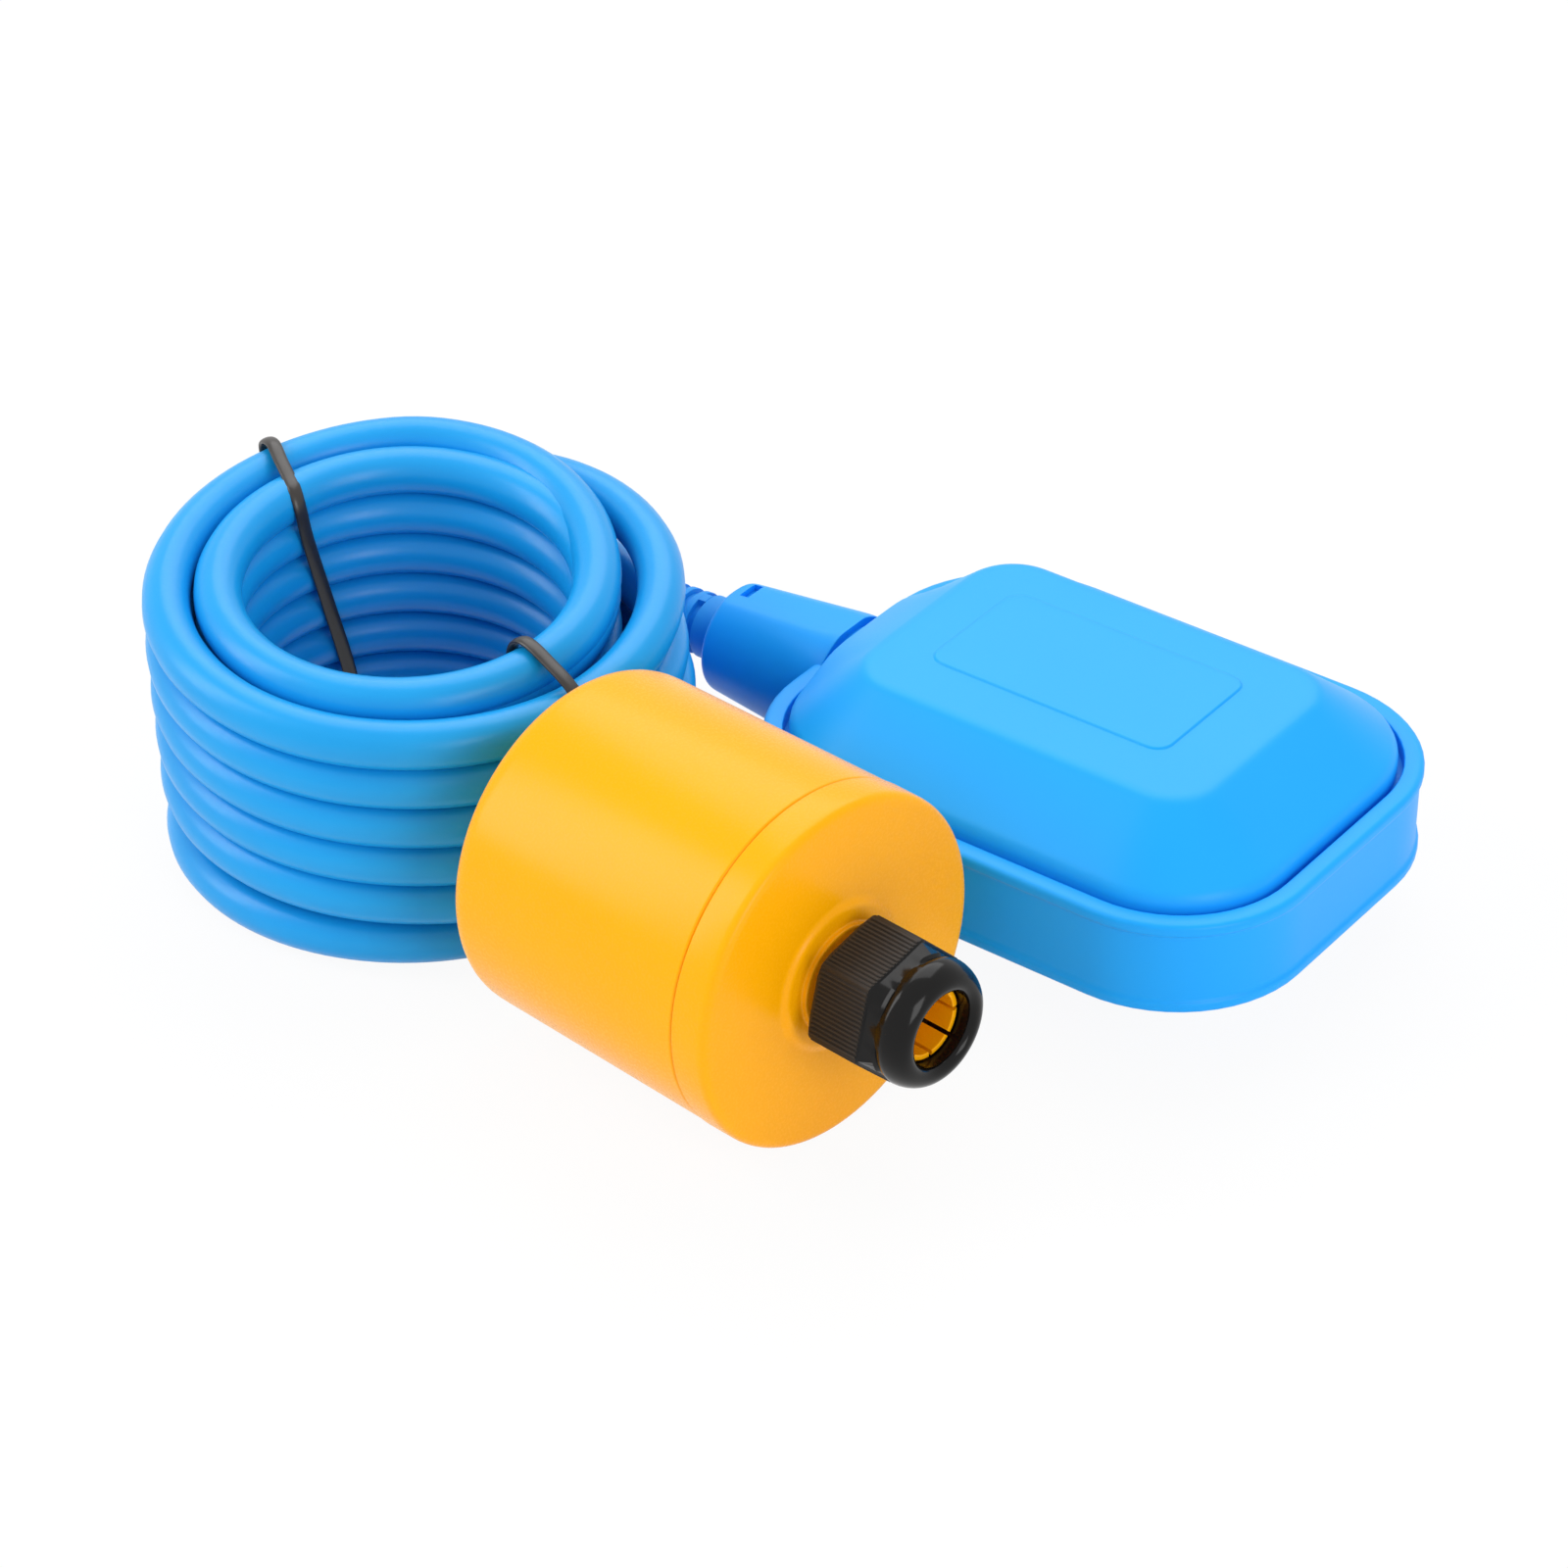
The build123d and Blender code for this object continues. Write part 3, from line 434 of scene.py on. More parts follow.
def neck_ring(x, cone, sides=96):
    """Ring of the barrel, cut off along its top by the sloping flat, with a soft edge."""
    flat = flat_rise + (x - neck_end) * flat_slope
    ring = []
    for k in range(sides):
        angle = math.tau * k / sides
        rise = math.sin(angle)
        reach = cone
        if rise > 0.3:
            limit = flat / rise
            mixed = max(0.0, min(1.0, 0.5 + (limit - cone) / (2 * flat_ease)))
            reach = limit * (1 - mixed) + cone * mixed - flat_ease * mixed * (1 - mixed)
        ring.append((x, reach * math.cos(angle), neck_axis + reach * rise))
    return ring


def block(name, along, across, up):
    """Square block between two values of X, of Y and of Z."""
    corners = ((across[0], up[0]), (across[1], up[0]), (across[1], up[1]), (across[0], up[1]))
    return skinned(name, [[(x, y, z) for y, z in corners] for x in along])


neck_path = softened(
    [(neck_end, 7.0), (neck_end, 10.0), (-51.5, 12.6), (-49.8, 12.6), (-49.7, 11.0), (-46.0, 11.0),
     (-45.9, 12.6), (-40.0, 12.6)], {1: 1.5, 2: 1.0, 3: 0.25}, 7)
barrel = skinned("neck_barrel_shell", [neck_ring(point.x, point.y) for point in neck_path])
cut_by(barrel, [block("flange", (-49.3, -47.3), (-15, 15), (14.2, 25.8))], "UNION")
cut_by(barrel, [block("notch", (-74.1, -72.2), (-0.5, 4.1), (29.0, 34.0)), round_bar("bore", 8.0, -77, -56),
                round_bar("cable hole", cable_hole, -60, -39), round_bar("socket", 8.85, -52, -39)])
smoothed(barrel, azure)
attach(barrel, "float")
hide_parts("neck_barrel")

# Bend relief: softer moulded sleeve on the cable, slotted from alternate sides so that it bends
# before the cable does. Its head sits in the neck's bore.
slots_from = -81.2
slot_pitch = 2.9
slot_width = 1.6
slot_floor = 4.6
slot_lip = 0.08
bridge_half = 1.3
sleeve_radius = 5.8
sleeve_taper = 0.7 / 12.8


def relief_ring(x, radius, slot=None, sides=96):
    """Ring of the sleeve; in a slot it goes down to the core except at two bridges."""
    ring = []
    for k in range(sides):
        angle = math.tau * k / sides
        reach = radius
        if slot is not None:
            across = abs(math.sin(angle) if slot else math.cos(angle)) * radius
            reach = radius if across < bridge_half else slot_floor
        ring.append((x, reach * math.cos(angle), neck_axis + reach * math.sin(angle)))
    return ring


def relief_radius(x):
    """Outer radius of the sleeve, tapering to its free end."""
    return sleeve_radius - sleeve_taper * max(slots_from - x, 0.0)


relief_rings = [relief_ring(x, radius) for x, radius in (
    (-68, cable_hole), (-68, 7.9), (-75.6, 7.9), (-76.0, 7.6), (-76.0, 6.4), (-76.3, 5.95),
    (-77.0, sleeve_radius))]
for index in range(4):
    start = slots_from - slot_pitch * index
    end = start - slot_width
    relief_rings += [relief_ring(start + 0.15, relief_radius(start)),
                     relief_ring(start, relief_radius(start) - slot_lip)]
    for x in (start - 0.02, end + 0.02):
        relief_rings.append(relief_ring(x, relief_radius(x), slot=index % 2))
    relief_rings += [relief_ring(end, relief_radius(end) - slot_lip),
                     relief_ring(end - 0.15, relief_radius(end - 0.15))]
relief_rings += [relief_ring(x, radius) for x, radius in (
    (-93.3, 5.13), (-93.8, 4.95), (-94.0, 4.6), (-94.0, cable_hole))]
relief = skinned("bend_relief", relief_rings, closed=True)
soft_azure = moulded("soft azure elastomer", "#1B9CF0", "#1591E4", 0.55, 12.0, 0.3, 0.02, specular=0.32)
smoothed(relief, soft_azure, 40)
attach(relief, "float")
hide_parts("strain_relief")

# Cable: round flexible lead with a blue rubber jacket, 8.2 mm thick and about three metres long.
# It leaves the float's nose, runs behind the coil, and is wound in two columns of turns, the
# inner one first, then over the top and down the outer one to its cut end.
cable_radius = 4.1
coil_centre = Vector((-101.0, -57.1, 0.0))
view_turn = 36.84
first_height = 5.35
inner_radius, inner_slack, inner_pitch, inner_top = 31.3, 0.5, 7.7, 51.4
outer_radius, outer_pitch, outer_top = 40.1, 8.2, 52.5
# Degrees of turning where each part of the winding begins, and where the crossing ends.
inner_from, crossing_from, outer_from, crossing_to = 450, 2880, 2970, 2985
lead_route = [
    (-94.0, 0.0, neck_axis),
    (-106.0, 0.0, neck_axis),
    (-120.5, -3.9, 17.8),
    (-133.6, -13.1, 12.6),
    (-142.8, -26.2, 7.6),
    (-146.4, -39.7, first_height),
    (-145.3, -52.7, first_height),
    (-141.6, -64.1, first_height),
    (-137.1, -73.0, first_height),
]


def between(turn, start, end, first, last):
    """Smooth step from one value to another over a span of turning."""
    share = min(1.0, max(0.0, (turn - start) / (end - start)))
    return first + (last - first) * share * share * (3 - 2 * share)


def coil_place(turn):
    """Distance from the coil's centre and height of the cable, after so many degrees of turning."""
    lean = 0.06 * math.sin(math.radians(turn))
    if turn < inner_from:
        radius = between(turn, 180, 300, 39.4, 38.6)
        radius = between(turn, 350, inner_from, radius, inner_radius)
        return radius, first_height + 0.25 * math.sin(math.radians(turn / 2)) ** 2
    climb = (turn - inner_from) / 360
    if turn < crossing_from:
        height = min(5.05 + inner_pitch * climb, inner_top)
        radius = inner_radius + inner_slack * min(climb / 2, 1.0)
        return radius, max(height * (1 + lean), first_height)
    crossing = between(turn, crossing_from, crossing_to, inner_radius + inner_slack, 40.4)
    if turn < outer_from:
        return crossing, between(turn, 2870, 2972, inner_top, outer_top) * (1 + lean)
    # The outer turns bulge towards the float and are pulled in on the far side by the tie. The
    # second one rides up on the first for a short way.
    height = outer_top - outer_pitch * (turn - outer_from) / 360
    side = math.cos(math.radians(turn))
    raised = between(turn, 3190, 3265, 0.0, 1.0) * between(turn, 3285, 3345, 1.0, 0.0)
    bulge = between(height, 28, 52, 4.2, 1.2) * max(side, 0.0) ** 1.5
    tuck = between(height, 9, 49, 0.5, -0.4) * max(-side, 0.0) ** 1.5
    radius = between(turn, outer_from, crossing_to, crossing, outer_radius)
    return radius + bulge + 1.2 * raised - tuck, (height + 3.6 * raised) * (1 + lean)


# The curve runs inside its control points, which are spread by what it would lose on a circle.
points_per_turn = 24
first_turn = 215.0 - view_turn
last_turn = 4742.0
steps = round((last_turn - first_turn) / 360 * points_per_turn)
spread = 4 / (3 + math.cos(math.radians(360 / points_per_turn)))
cable_route = [Vector(point) for point in lead_route]
for step in range(steps + 1):
    turn = first_turn + (last_turn - first_turn) * step / steps
    radius, height = coil_place(turn)
    angle = math.radians(turn + view_turn)
    cable_route.append(coil_centre + Vector((
        math.cos(angle) * radius * spread, math.sin(angle) * radius * spread, height)))

cable_data = bpy.data.curves.new("cable", "CURVE")
cable_data.dimensions = "3D"
cable_data.bevel_depth = cable_radius * mm
cable_data.bevel_resolution = 6
cable_data.use_fill_caps = True
spline = cable_data.splines.new("NURBS")
spline.points.add(len(cable_route) - 1)
for point, place in zip(spline.points, cable_route):
    point.co = (*(place * mm), 1.0)
spline.order_u = 3
spline.use_endpoint_u = True
spline.resolution_u = 5
cable = bpy.data.objects.new("cable", cable_data)
bpy.context.collection.objects.link(cable)

# Its jacket is extruded rubber: satin, with a fine chalky grain that dulls the highlight. The
# grain is drawn coarser than the real talc, one to about a millimetre, so that it shows.
grains_per_mm = 0.9
clouds_per_mm = 0.045
jacket, tree, output = new_material("extruded blue rubber")
place = add(tree, "ShaderNodeTexCoord")
grain = add(tree, "ShaderNodeTexNoise", {"Vector": place.outputs["Object"]},
            {"Scale": 1000 * grains_per_mm, "Detail": 4.0})
cloud = add(tree, "ShaderNodeTexNoise", {"Vector": place.outputs["Object"]},
            {"Scale": 1000 * clouds_per_mm, "Detail": 2.0})
tone = add(tree, "ShaderNodeMix", {"Factor": cloud.outputs["Fac"]}, data_type="RGBA")
tone.inputs["A"].default_value = srgb("#1096DE")
tone.inputs["B"].default_value = srgb("#16A0E6")
dull = add(tree, "ShaderNodeMapRange", {"Value": grain.outputs["Fac"]}, {"To Min": 0.27, "To Max": 0.4})
texture = add(tree, "ShaderNodeBump", {"Height": grain.outputs["Fac"]},
              {"Strength": 0.12, "Distance": 0.2 * mm})
surface = add(tree, "ShaderNodeBsdfPrincipled",
              {"Base Color": tone.outputs["Result"], "Roughness": dull.outputs["Result"],
               "Normal": texture.outputs["Normal"]}, {"IOR": 1.48, "Specular IOR Level": 0.32})
tree.links.new(surface.outputs[0], output.inputs["Surface"])
cable_data.materials.append(jacket)
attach(cable, "float")
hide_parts("cable_lead", "cable_coil")
finish_node("cable_entry", jacket)


# Ties: black plastic coated wire, wound once round the bundle and twisted shut. The back one also
# holds the lead and its twist sits outside; the front one is twisted inside the coil.
def tube(name, path, radius, sides, closed=False, broad=None, thickness=1.0):
    """Rod along a path of points in millimetres, with its length and its turn as UV. It is round, or
    flattened to a share of its width, with its broad side along the direction given for each point."""
    points = [Vector(point) for point in path]
    count = len(points)
    mesh = bpy.data.meshes.new(name)
    shape = bmesh.new()
    wrap = shape.loops.layers.uv.new("along and around")
    rows = []
    normal = None
    travelled = [0.0]
    for index, point in enumerate(points):
        before = points[index - 1] if index or closed else point
        after = points[(index + 1) % count] if index < count - 1 or closed else point
        heading = (after - before).normalized()
        if normal is None:
            normal = heading.orthogonal().normalized()
        normal = (normal - heading * normal.dot(heading)).normalized()
        if broad:
            normal = (broad[index] - heading * broad[index].dot(heading)).normalized()
        across = heading.cross(normal) * thickness
        rows.append([shape.verts.new((point + (normal * math.cos(math.tau * k / sides)
                                              + across * math.sin(math.tau * k / sides)) * radius) * mm)
                     for k in range(sides)])
        if index < count - 1:
            travelled.append(travelled[-1] + (points[index + 1] - point).length)
    pairs = list(zip(range(count), range(1, count))) + ([(count - 1, 0)] if closed else [])
    offset = 0
    if closed:
        offset = min(range(sides), key=lambda k: (rows[-1][0].co - rows[0][k].co).length)
    for low, high in pairs:
        shift = offset if high == 0 else 0
        for k in range(sides):
            face = shape.faces.new((rows[low][k], rows[low][(k + 1) % sides],
                                    rows[high][(k + 1 + shift) % sides], rows[high][(k + shift) % sides]))
            corners = ((low, k), (low, k + 1), (high or count, k + 1), (high or count, k))
            for loop, (u, v) in zip(face.loops, corners):
                loop[wrap].uv = (travelled[min(u, count - 1)] / 10, v / sides)
    if not closed:
        shape.faces.new(list(reversed(rows[0])))
        shape.faces.new(rows[-1])
    bmesh.ops.recalc_face_normals(shape, faces=shape.faces)
    shape.to_mesh(mesh)
    shape.free()
    piece = bpy.data.objects.new(name, mesh)
    bpy.context.collection.objects.link(piece)
    return piece


def eased(points, steps, closed=False):
    """Smooth line through the points."""
    places = [Vector(point) for point in points]
    count = len(places)
    line = []
    for index in range(count if closed else count - 1):
        if closed:
            a, b, c, d = (places[(index + k) % count] for k in (-1, 0, 1, 2))
        else:
            a, b, c, d = (places[min(max(index + k, 0), count - 1)] for k in (-1, 0, 1, 2))
        for step in range(steps):
            t = step / steps
            line.append(0.5 * (2 * b + (c - a) * t + (2 * a - 5 * b + 4 * c - d) * t * t
                               + (3 * b - a - 3 * c + d) * t ** 3))
    if not closed:
        line.append(places[-1])
    return line


def joined(name, pieces):
    """One piece from several."""
    with bpy.context.temp_override(active_object=pieces[0], selected_editable_objects=pieces,
                                   object=pieces[0], selected_objects=pieces):
        bpy.ops.object.join()
    pieces[0].name = name
    return pieces[0]


def beside_coil(angle, radius, height):
    """Point beside the coil: angle and distance from its centre, and height."""
    turn = math.radians(angle)
    return coil_centre + Vector((radius * math.cos(turn), radius * math.sin(turn), height))


strip_half, strip_flatness = 1.3, 0.4
end_half, end_flatness = 1.1, 0.42
twist_turns = 1.75
twist_height = 7.5
twist_steps = 36
# Each tie: its name, its solid, its way round the bundle as angle, distance and height, the foot
# of its twist, and whether the twist points out of the coil (1) or into it (-1).
tie_places = (
    ("tie_wire_back", "tie_back",
     [(153, 27.1, 5.3), (156, 27.0, 18), (163, 27.0, 33), (170, 27.0, 47), (172, 27.3, 53.5), (171, 29.2, 56.6),
      (169, 32.2, 57.6), (167, 36, 58.7), (165, 40.2, 59.6), (164, 43.8, 58.2), (163, 45.3, 54.5),
      (162, 45.2, 45), (160, 45.1, 32), (159, 46.6, 20), (158.8, 49.2, 10.2), (158.6, 49.6, 5.6),
      (158.6, 47.5, 1.6), (158, 43.5, 0.72), (156, 36, 0.7), (154, 30.5, 0.76), (153, 27.9, 1.9)],
     (158.8, 49.6, 8.5), 1),
    ("tie_wire_front", "tie_front",
     [(-10.5, 27.1, 5.3), (-10.5, 27.0, 18), (-10.5, 27.0, 33), (-10.5, 27.0, 46), (-10.5, 27.5, 51.6),
      (-10.5, 29.6, 54.0), (-10.5, 32.4, 54.2), (-10.5, 36.5, 53.0), (-10.5, 41.2, 51.3),
      (-10.5, 44.3, 48.9), (-10.5, 45.0, 44.5), (-10.3, 44.9, 32), (-10.2, 44.9, 18), (-10.2, 44.8, 5.6),
      (-10.2, 43.3, 1.7), (-10.2, 39.6, 0.72), (-10.4, 32.5, 0.7), (-10.5, 28.6, 1.7)],
     (-10.5, 26.6, 29.0), -1),
)
coated_wire = moulded("black coated wire", "#231F1C", "#2E2824", 0.34, 1.5, 0.3, 0.02)
for name, node, places, twist, out in tie_places:
    line = eased([beside_coil(*place) for place in places], 6, closed=True)
    level = [Vector((coil_centre.y - point.y, point.x - coil_centre.x, 0)) for point in line]
    strands = [tube(name, line, strip_half, 16, closed=True, broad=level, thickness=strip_flatness)]
    root = beside_coil(*twist)
    outward = Vector((math.cos(math.radians(twist[0])), math.sin(math.radians(twist[0])), 0)) * out
    aside = Vector((-outward.y, outward.x, 0))
    for phase in (0, math.pi):
        path = []
        turned_to = []
        for step in range(twist_steps + 1):
            run = step / twist_steps
            swing = phase + math.tau * twist_turns * run
            splay = max(0.0, run - 0.85) * 2.4
            path.append(root + outward * (0.4 + 1.5 * math.sin(run * 1.2)) + Vector((0, 0, twist_height * run))
                        + (aside * math.cos(swing) + outward * math.sin(swing)) * (0.5 + splay))
            turned_to.append(outward * math.cos(swing) - aside * math.sin(swing))
        strands.append(tube(name + "_end", path, end_half, 14, broad=turned_to, thickness=end_flatness))
    tie = joined(name, strands)
    smoothed(tie, coated_wire, 60)
    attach(tie, "float")
    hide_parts(node)


# Cut end of the cable: brown, blue, and green and yellow cores cut to different lengths, each with
# a few millimetres of bright copper strands twisted together. Inside the float the earth core's
# solid has no wrap for the stripe, and is plain green.
def core_pvc(name, colour, stripe=None):
    """Soft PVC insulation; the earth core has two stripes along it."""
    material, tree, output = new_material(name)
    place = add(tree, "ShaderNodeTexCoord")
    grain_mm = 0.4
    grain = add(tree, "ShaderNodeTexNoise", {"Vector": place.outputs["Object"]},
                {"Scale": 1000 / grain_mm, "Detail": 2.0})
    texture = add(tree, "ShaderNodeBump", {"Height": grain.outputs["Fac"]},
                  {"Strength": 0.25, "Distance": 0.01 * mm})
    dull = add(tree, "ShaderNodeMapRange", {"Value": grain.outputs["Fac"]}, {"To Min": 0.28, "To Max": 0.4})
    surface = add(tree, "ShaderNodeBsdfPrincipled",
                  {"Roughness": dull.outputs["Result"], "Normal": texture.outputs["Normal"]},
                  {"Base Color": srgb(colour), "IOR": 1.53})
    if stripe:
        wrap = add(tree, "ShaderNodeUVMap", uv_map="along and around")
        parts = add(tree, "ShaderNodeSeparateXYZ", {0: wrap.outputs["UV"]})
        turns = add(tree, "ShaderNodeMath", {0: parts.outputs["Y"]}, {1: 2.0}, operation="MULTIPLY")
        share = add(tree, "ShaderNodeMath", {0: turns.outputs[0]}, {1: 1.0}, operation="MODULO")
        edge = add(tree, "ShaderNodeMath", {0: share.outputs[0]}, {1: 0.6}, operation="GREATER_THAN")
        tone = add(tree, "ShaderNodeMix", {"Factor": edge.outputs[0]}, data_type="RGBA")
        tone.inputs["A"].default_value = srgb(colour)
        tone.inputs["B"].default_value = srgb(stripe)
        tree.links.new(tone.outputs["Result"], surface.inputs["Base Color"])
    tree.links.new(surface.outputs[0], output.inputs["Surface"])
    return material


brown_pvc = core_pvc("brown core PVC", "#6B3B1E")
blue_pvc = core_pvc("blue core PVC", "#1F5FC4")
earth_pvc = core_pvc("green and yellow core PVC", "#3E9B35", "#F2D21C")
finish_node("entry_core_brown", brown_pvc)
finish_node("entry_core_blue", blue_pvc)
finish_node("entry_core_green", core_pvc("green core PVC", "#3E9B35"))
core_radius = 1.38
strand_radius = 0.24
strand_circle = 0.5
bare_length = 7.0
cut_radius, cut_height = coil_place(last_turn)
cut_angle = last_turn + view_turn
# Each core: its solid, slot and plastic, its length, where it leaves the jacket, and how far it drifts.
core_facts = (
    ("end_core_brown", "core_brown", brown_pvc, 29.5, (1.45, -0.9), 1.0),
    ("end_core_blue", "core_blue", blue_pvc, 24.0, (0.0, 1.6), 0.3),
    ("end_core_green", "core_green", earth_pvc, 19.0, (-1.45, -0.9), -0.6),
)
strands = []
for node, slot, material, span, spot, drift in core_facts:
    reach = math.degrees(span / cut_radius)
    places = []
    for share in (-0.08, 0.0, 0.3, 0.65, 1.0):
        out = spot[0] + drift * max(share, 0.0) ** 2
        rise = spot[1] + 0.5 * drift * max(share, 0.0) ** 2
        places.append(beside_coil(cut_angle + reach * share, cut_radius + out, cut_height + rise))
    line = eased(places, 8)
    core = tube("insulated_" + node, line, core_radius, 20)
    smoothed(core, material, 50)
    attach(core, "float")
    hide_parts(node)
    heading = (line[-1] - line[-3]).normalized()
    side = heading.orthogonal().normalized()
    other = heading.cross(side)
    for index in range(7):
        ring_radius = 0.0 if index == 6 else strand_circle
        path = []
        for step in range(13):
            run = step / 12
            swing = math.tau * (index / 6 + 0.55 * run)
            flare = 1 + 0.35 * max(run - 0.7, 0)
            path.append(line[-1] + heading * (bare_length * run - 1.0)
                        + (side * math.cos(swing) + other * math.sin(swing)) * ring_radius * flare)
        strands.append(tube("strand", path, strand_radius, 8))
copper = joined("copper_strands", strands)
smoothed(copper, worked_metal("bright copper strand", "#D08A5C", 0.24, (1, 1, 1), 0.3, 0.004), 60)
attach(copper, "float")
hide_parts("copper_ends")


# Counterweight cup: drum of yellow ABS with a guide tube up its middle, lying on its side. Its rear
# edge is well rounded, and the wall tapers slightly to leave the tool.
weight_turn, weight_tilt = math.radians(-6.7), math.radians(-1.059)
weight_frame = (Matrix.Translation(Vector((5.6, -79.6, 30.624)) * mm)
                @ Matrix.Rotation(weight_turn, 4, "Z") @ Matrix.Rotation(weight_tilt, 4, "Y"))
drum_end = -58.0
seam = -7.0
guide_bore = 5.2
guide_outside = 7.0


def turned(name, outline, sides=128):
    """Closed solid of revolution about the weight's axis, from distance along it and radius."""
    rings = []
    for along, radius in outline:
        rings.append([(along, radius * math.cos(math.tau * k / sides), radius * math.sin(math.tau * k / sides))
                      for k in range(sides)])
    return skinned(name, rings, closed=True)


def laid(piece):
    """Puts a piece made along X from the weight's front face where the weight lies."""
    piece.data.transform(weight_frame)


cup = turned("weight_drum", softened(
    [(seam, 27.5), (seam, 29.9), (-7.4, 30.35), (drum_end, 29.75), (drum_end, guide_bore), (seam, guide_bore),
     (seam, guide_outside), (-55.0, guide_outside), (-55.0, 27.1)], {1: 0.2, 2: 0.3, 3: 4.2, 8: 1.5}, 8))
yellow = moulded("gloss yellow ABS", "#FFB104", "#FFAC02", 0.27, 24.0, 0.5, 0.002, specular=0.16)
laid(cup)
smoothed(cup, yellow)
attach(cup, "float")
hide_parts("weight_cup")

# Ballast inside the drum: sleeve of sand cast iron, dark and grainy, dropped over the guide tube
# before the cap goes on.
finish_node("ballast_sleeve", worked_metal("sand cast iron", "#4C4B4C", 0.62, (1, 1, 1), 0.9, 0.12))

# Counterweight cap: yellow lid pressed into the drum. Its face has a low raised ring with a collar,
# then the threaded neck and the eight claws that the nut closes on the cable.
cap_radius = 30.5
claw_tip = 19.4
claw_circle = 5.9
slit_depth = 3.4
slit_centre = 16.3
thread_pitch = 1.5
thread_top = 11.9
thread_length = 8.7
thread_root = 7.05
thread_depth = 0.33
thread_steps = 32
claws = softened([(claw_tip, guide_bore), (claw_tip, 6.3), (12.2, 6.95), (12.2, 7.0)], {0: 0.3, 1: 0.4}, 4)
thread = []
for step in range(thread_steps + 1):
    along = thread_top - thread_length * step / thread_steps
    thread.append(Vector((along, thread_root + thread_depth * abs(((along / thread_pitch) % 1) * 2 - 1))))
face = softened(
    [(2.9, 7.4), (1.8, 7.4), (1.8, 9.3), (0.8, 9.4), (0.8, 12.2), (0.0, 13.2), (0.0, cap_radius),
     (-6.75, cap_radius), (seam, 30.2)], {2: 0.35, 3: 0.4, 4: 0.6, 5: 0.6, 6: 1.7, 7: 0.2}, 6)
back = softened(
    [(seam, 27.35), (-13.0, 27.35), (-13.0, 25.0), (-3.0, 25.0), (-3.0, 9.0), (-10.0, 9.0), (-10.0, 7.05),
     (seam, 7.05), (seam, guide_bore)], {1: 0.5, 2: 0.4}, 3)
cap = turned("weight_lid", claws + thread + face + back)


def sized_group(name, sizes):
    """Geometry nodes with named sizes as inputs: the tree, its input node, and each input's value."""
    tree = bpy.data.node_groups.new(name, "GeometryNodeTree")
    tree.interface.new_socket("Geometry", in_out="INPUT", socket_type="NodeSocketGeometry")
    values = {}
    for label, kind, value in sizes:
        item = tree.interface.new_socket(label, in_out="INPUT", socket_type=kind)
        item.default_value = value
        values[item.identifier] = value
    tree.interface.new_socket("Geometry", in_out="OUTPUT", socket_type="NodeSocketGeometry")
    return tree, add(tree, "NodeGroupInput"), values


def run_group(piece, tree, values):
    """Runs the tree on a piece with these sizes, for good."""
    change = piece.modifiers.new(tree.name, "NODES")
    change.node_group = tree
    for identifier, value in values.items():
        change[identifier] = value
    bake(piece)


tree, given, values = sized_group("claw slits", (
    ("Slits", "NodeSocketInt", 8), ("Width", "NodeSocketFloat", 0.7 * mm),
    ("Length", "NodeSocketFloat", 8.4 * mm)))
spots = add(tree, "GeometryNodeMeshCircle", {"Vertices": given.outputs["Slits"]}, {"Radius": claw_circle * mm})
spot_place = add(tree, "GeometryNodeInputPosition")
knife_size = add(tree, "ShaderNodeCombineXYZ", {"X": given.outputs["Width"], "Z": given.outputs["Length"]},
                 {"Y": slit_depth * mm})
knife = add(tree, "GeometryNodeMeshCube", {"Size": knife_size.outputs[0]})
facing = add(tree, "FunctionNodeAlignRotationToVector", {"Vector": spot_place.outputs[0]},
             axis="Y", pivot_axis="Z")
knives = add(tree, "GeometryNodeInstanceOnPoints",
             {"Points": spots.outputs["Mesh"], "Instance": knife.outputs["Mesh"],
              "Rotation": facing.outputs[0]})
stood = add(tree, "GeometryNodeTransform", {"Geometry": knives.outputs["Instances"]},
            {"Translation": (slit_centre * mm, 0, 0), "Rotation": (0, math.radians(90), 0)})
solid = add(tree, "GeometryNodeRealizeInstances", {"Geometry": stood.outputs[0]})
slit = add(tree, "GeometryNodeMeshBoolean", {"Mesh 1": given.outputs[0], "Mesh 2": solid.outputs[0]},
           operation="DIFFERENCE", solver="EXACT")
painted = add(tree, "GeometryNodeSetMaterial", {"Geometry": slit.outputs["Mesh"]}, {"Material": yellow})
add(tree, "NodeGroupOutput", {0: painted.outputs[0]})
run_group(cap, tree, values)
laid(cap)
smoothed(cap, yellow)
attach(cap, "float")
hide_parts("weight_cap")

# Clamping nut: black nylon hexagon with fine grip ribs on its faces and a smooth rounded mouth,
# moulded in one and screwed over the claws. The mouth is polished, and its darker colour is painted shade.
nut_turn = 45
# From here along the nut the mouth is polished, and its darker colour is painted shade.
polish_and_painted_shade_from = 14.7
mouth_centre, mouth_run, mouth_rise = (18.0, 7.9), 4.6, 3.0
lip_centre, lip_run, lip_rise = (21.2, 7.9), 1.4, 1.45
rib_centre = 9.7
rib_radius = 0.27


def nut_ring(along, flat_radius, corner_radius, side_steps=12):
    """Ring of the nut: a hexagon with its corners cut round, or a circle where its flats lie outside it."""
    ring = []
    for k in range(6 * side_steps):
        angle = math.tau * k / (6 * side_steps)
        beyond = (angle + math.radians(30)) % math.radians(60) - math.radians(30)
        reach = min(flat_radius / math.cos(beyond), corner_radius)
        turn = angle + math.radians(nut_turn)
        ring.append((along, reach * math.cos(turn), reach * math.sin(turn)))
    return ring


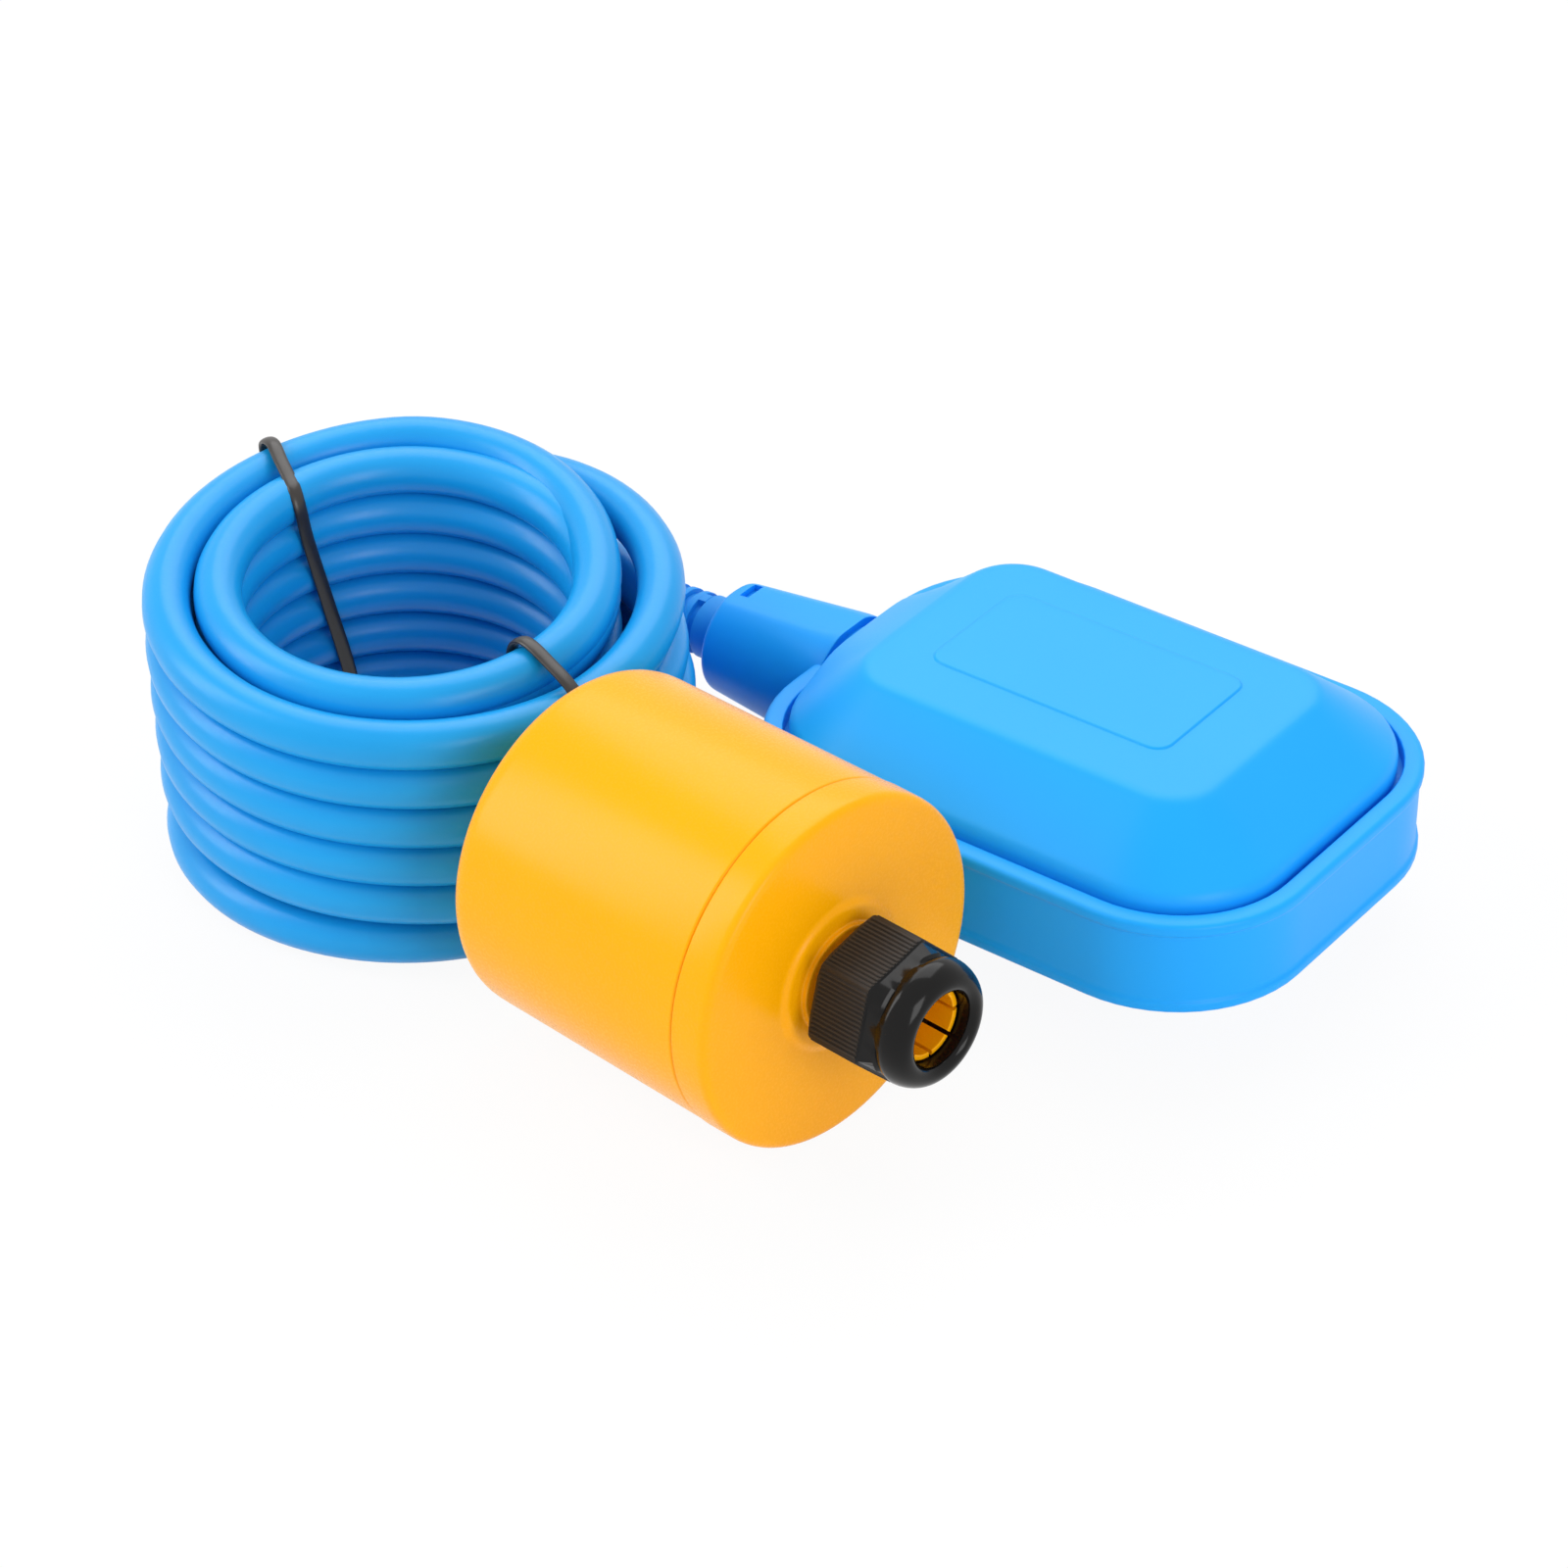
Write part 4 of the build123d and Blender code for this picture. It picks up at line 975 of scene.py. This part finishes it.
# Each step of the hexagon: its distance along, and its radius to the flats and to the corners.
hexagon = ((4.0, 10.4, 11.2), (4.5, 10.75, 12.2), (5.0, 10.8, 12.5), (14.6, 10.8, 12.5),
           (14.8, 10.45, 12.1), (17.0, 10.35, 11.0))
mouth = [Vector((17.4, 10.5))]
for step in range(1, 13):
    swing = math.radians(7.5 * step)
    mouth.append(Vector((mouth_centre[0] + mouth_run * math.sin(swing),
                         mouth_centre[1] + mouth_rise * math.cos(swing))))
for step in range(1, 7):
    swing = math.radians(15 * step)
    mouth.append(Vector((lip_centre[0] + lip_run * math.cos(swing),
                         lip_centre[1] - lip_rise * math.sin(swing))))
hollow = [(19.6, 6.5), (19.6, 6.65), (12.4, 7.6), (4.0, 7.6)]
nut = skinned("clamping_nut_body", [nut_ring(*place) for place in hexagon]
              + [nut_ring(along, radius, radius) for along, radius in mouth + hollow], closed=True)
tree, given, values = sized_group("grip ribs", (
    ("Ribs per face", "NodeSocketInt", 15), ("Pitch", "NodeSocketFloat", 0.77 * mm),
    ("Face distance", "NodeSocketFloat", 10.75 * mm), ("Length", "NodeSocketFloat", 9.6 * mm)))
gaps = add(tree, "ShaderNodeMath", {0: given.outputs["Ribs per face"]}, {1: 1.0}, operation="SUBTRACT")
row_width = add(tree, "ShaderNodeMath", {0: gaps.outputs[0], 1: given.outputs["Pitch"]}, operation="MULTIPLY")
half_row = add(tree, "ShaderNodeMath", {0: row_width.outputs[0]}, {1: 0.5}, operation="MULTIPLY")
first_rib = add(tree, "ShaderNodeMath", {0: half_row.outputs[0]}, {1: -1.0}, operation="MULTIPLY")
row_start = add(tree, "ShaderNodeCombineXYZ", {"Y": first_rib.outputs[0], "Z": given.outputs["Face distance"]},
                {"X": rib_centre * mm})
row_step = add(tree, "ShaderNodeCombineXYZ", {"Y": given.outputs["Pitch"]})
row = add(tree, "GeometryNodeMeshLine",
          {"Count": given.outputs["Ribs per face"], "Start Location": row_start.outputs[0],
           "Offset": row_step.outputs[0]})
rib = add(tree, "GeometryNodeMeshCylinder", {"Depth": given.outputs["Length"]},
          {"Vertices": 8, "Radius": rib_radius * mm})
ribs = add(tree, "GeometryNodeInstanceOnPoints", {"Points": row.outputs[0], "Instance": rib.outputs["Mesh"]},
           {"Rotation": (0, math.radians(90), 0)})
face_ribs = add(tree, "GeometryNodeRealizeInstances", {"Geometry": ribs.outputs["Instances"]})
faces = add(tree, "GeometryNodeMeshLine", values={"Count": 6, "Offset": (0, 0, 0)})
number = add(tree, "GeometryNodeInputIndex")
face_turn = add(tree, "ShaderNodeMath", {0: number.outputs[0]}, {1: math.radians(60)}, operation="MULTIPLY")
face_swing = add(tree, "ShaderNodeCombineXYZ", {"X": face_turn.outputs[0]})
around = add(tree, "GeometryNodeInstanceOnPoints",
             {"Points": faces.outputs[0], "Instance": face_ribs.outputs[0], "Rotation": face_swing.outputs[0]})
all_ribs = add(tree, "GeometryNodeTransform", {"Geometry": around.outputs["Instances"]},
               {"Rotation": (math.radians(-nut_turn), 0, 0)})
both = add(tree, "GeometryNodeJoinGeometry", {0: all_ribs.outputs[0]})
tree.links.new(given.outputs[0], both.inputs[0])
solid = add(tree, "GeometryNodeRealizeInstances", {"Geometry": both.outputs[0]})
nylon = moulded("black glass filled nylon", "#262422", "#2E2B29", 0.42, 5.0, 0.25, 0.012, specular=0.25)
# The mouth's nylon: polished, and darker than the faces' nylon as painted shade.
polished_nylon_painted_shade = moulded("black nylon, polished mouth with painted shade", "#0C0B0B", "#100F0E", 0.15, 5.0, 0.3, 0.002,
                         specular=0.2)
painted = add(tree, "GeometryNodeSetMaterial", {"Geometry": solid.outputs[0]}, {"Material": nylon})
add(tree, "NodeGroupOutput", {0: painted.outputs[0]})
run_group(nut, tree, values)
mouth_faces = [face.index for face in nut.data.polygons if face.center.x > polish_and_painted_shade_from * mm]
laid(nut)
smoothed(nut, nylon, 30)
# The mouth's faces get the polished nylon with its painted shade.
nut.data.materials.append(polished_nylon_painted_shade)
for index in mouth_faces:
    nut.data.polygons[index].material_index = 1
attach(nut, "float")
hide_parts("dome_nut")
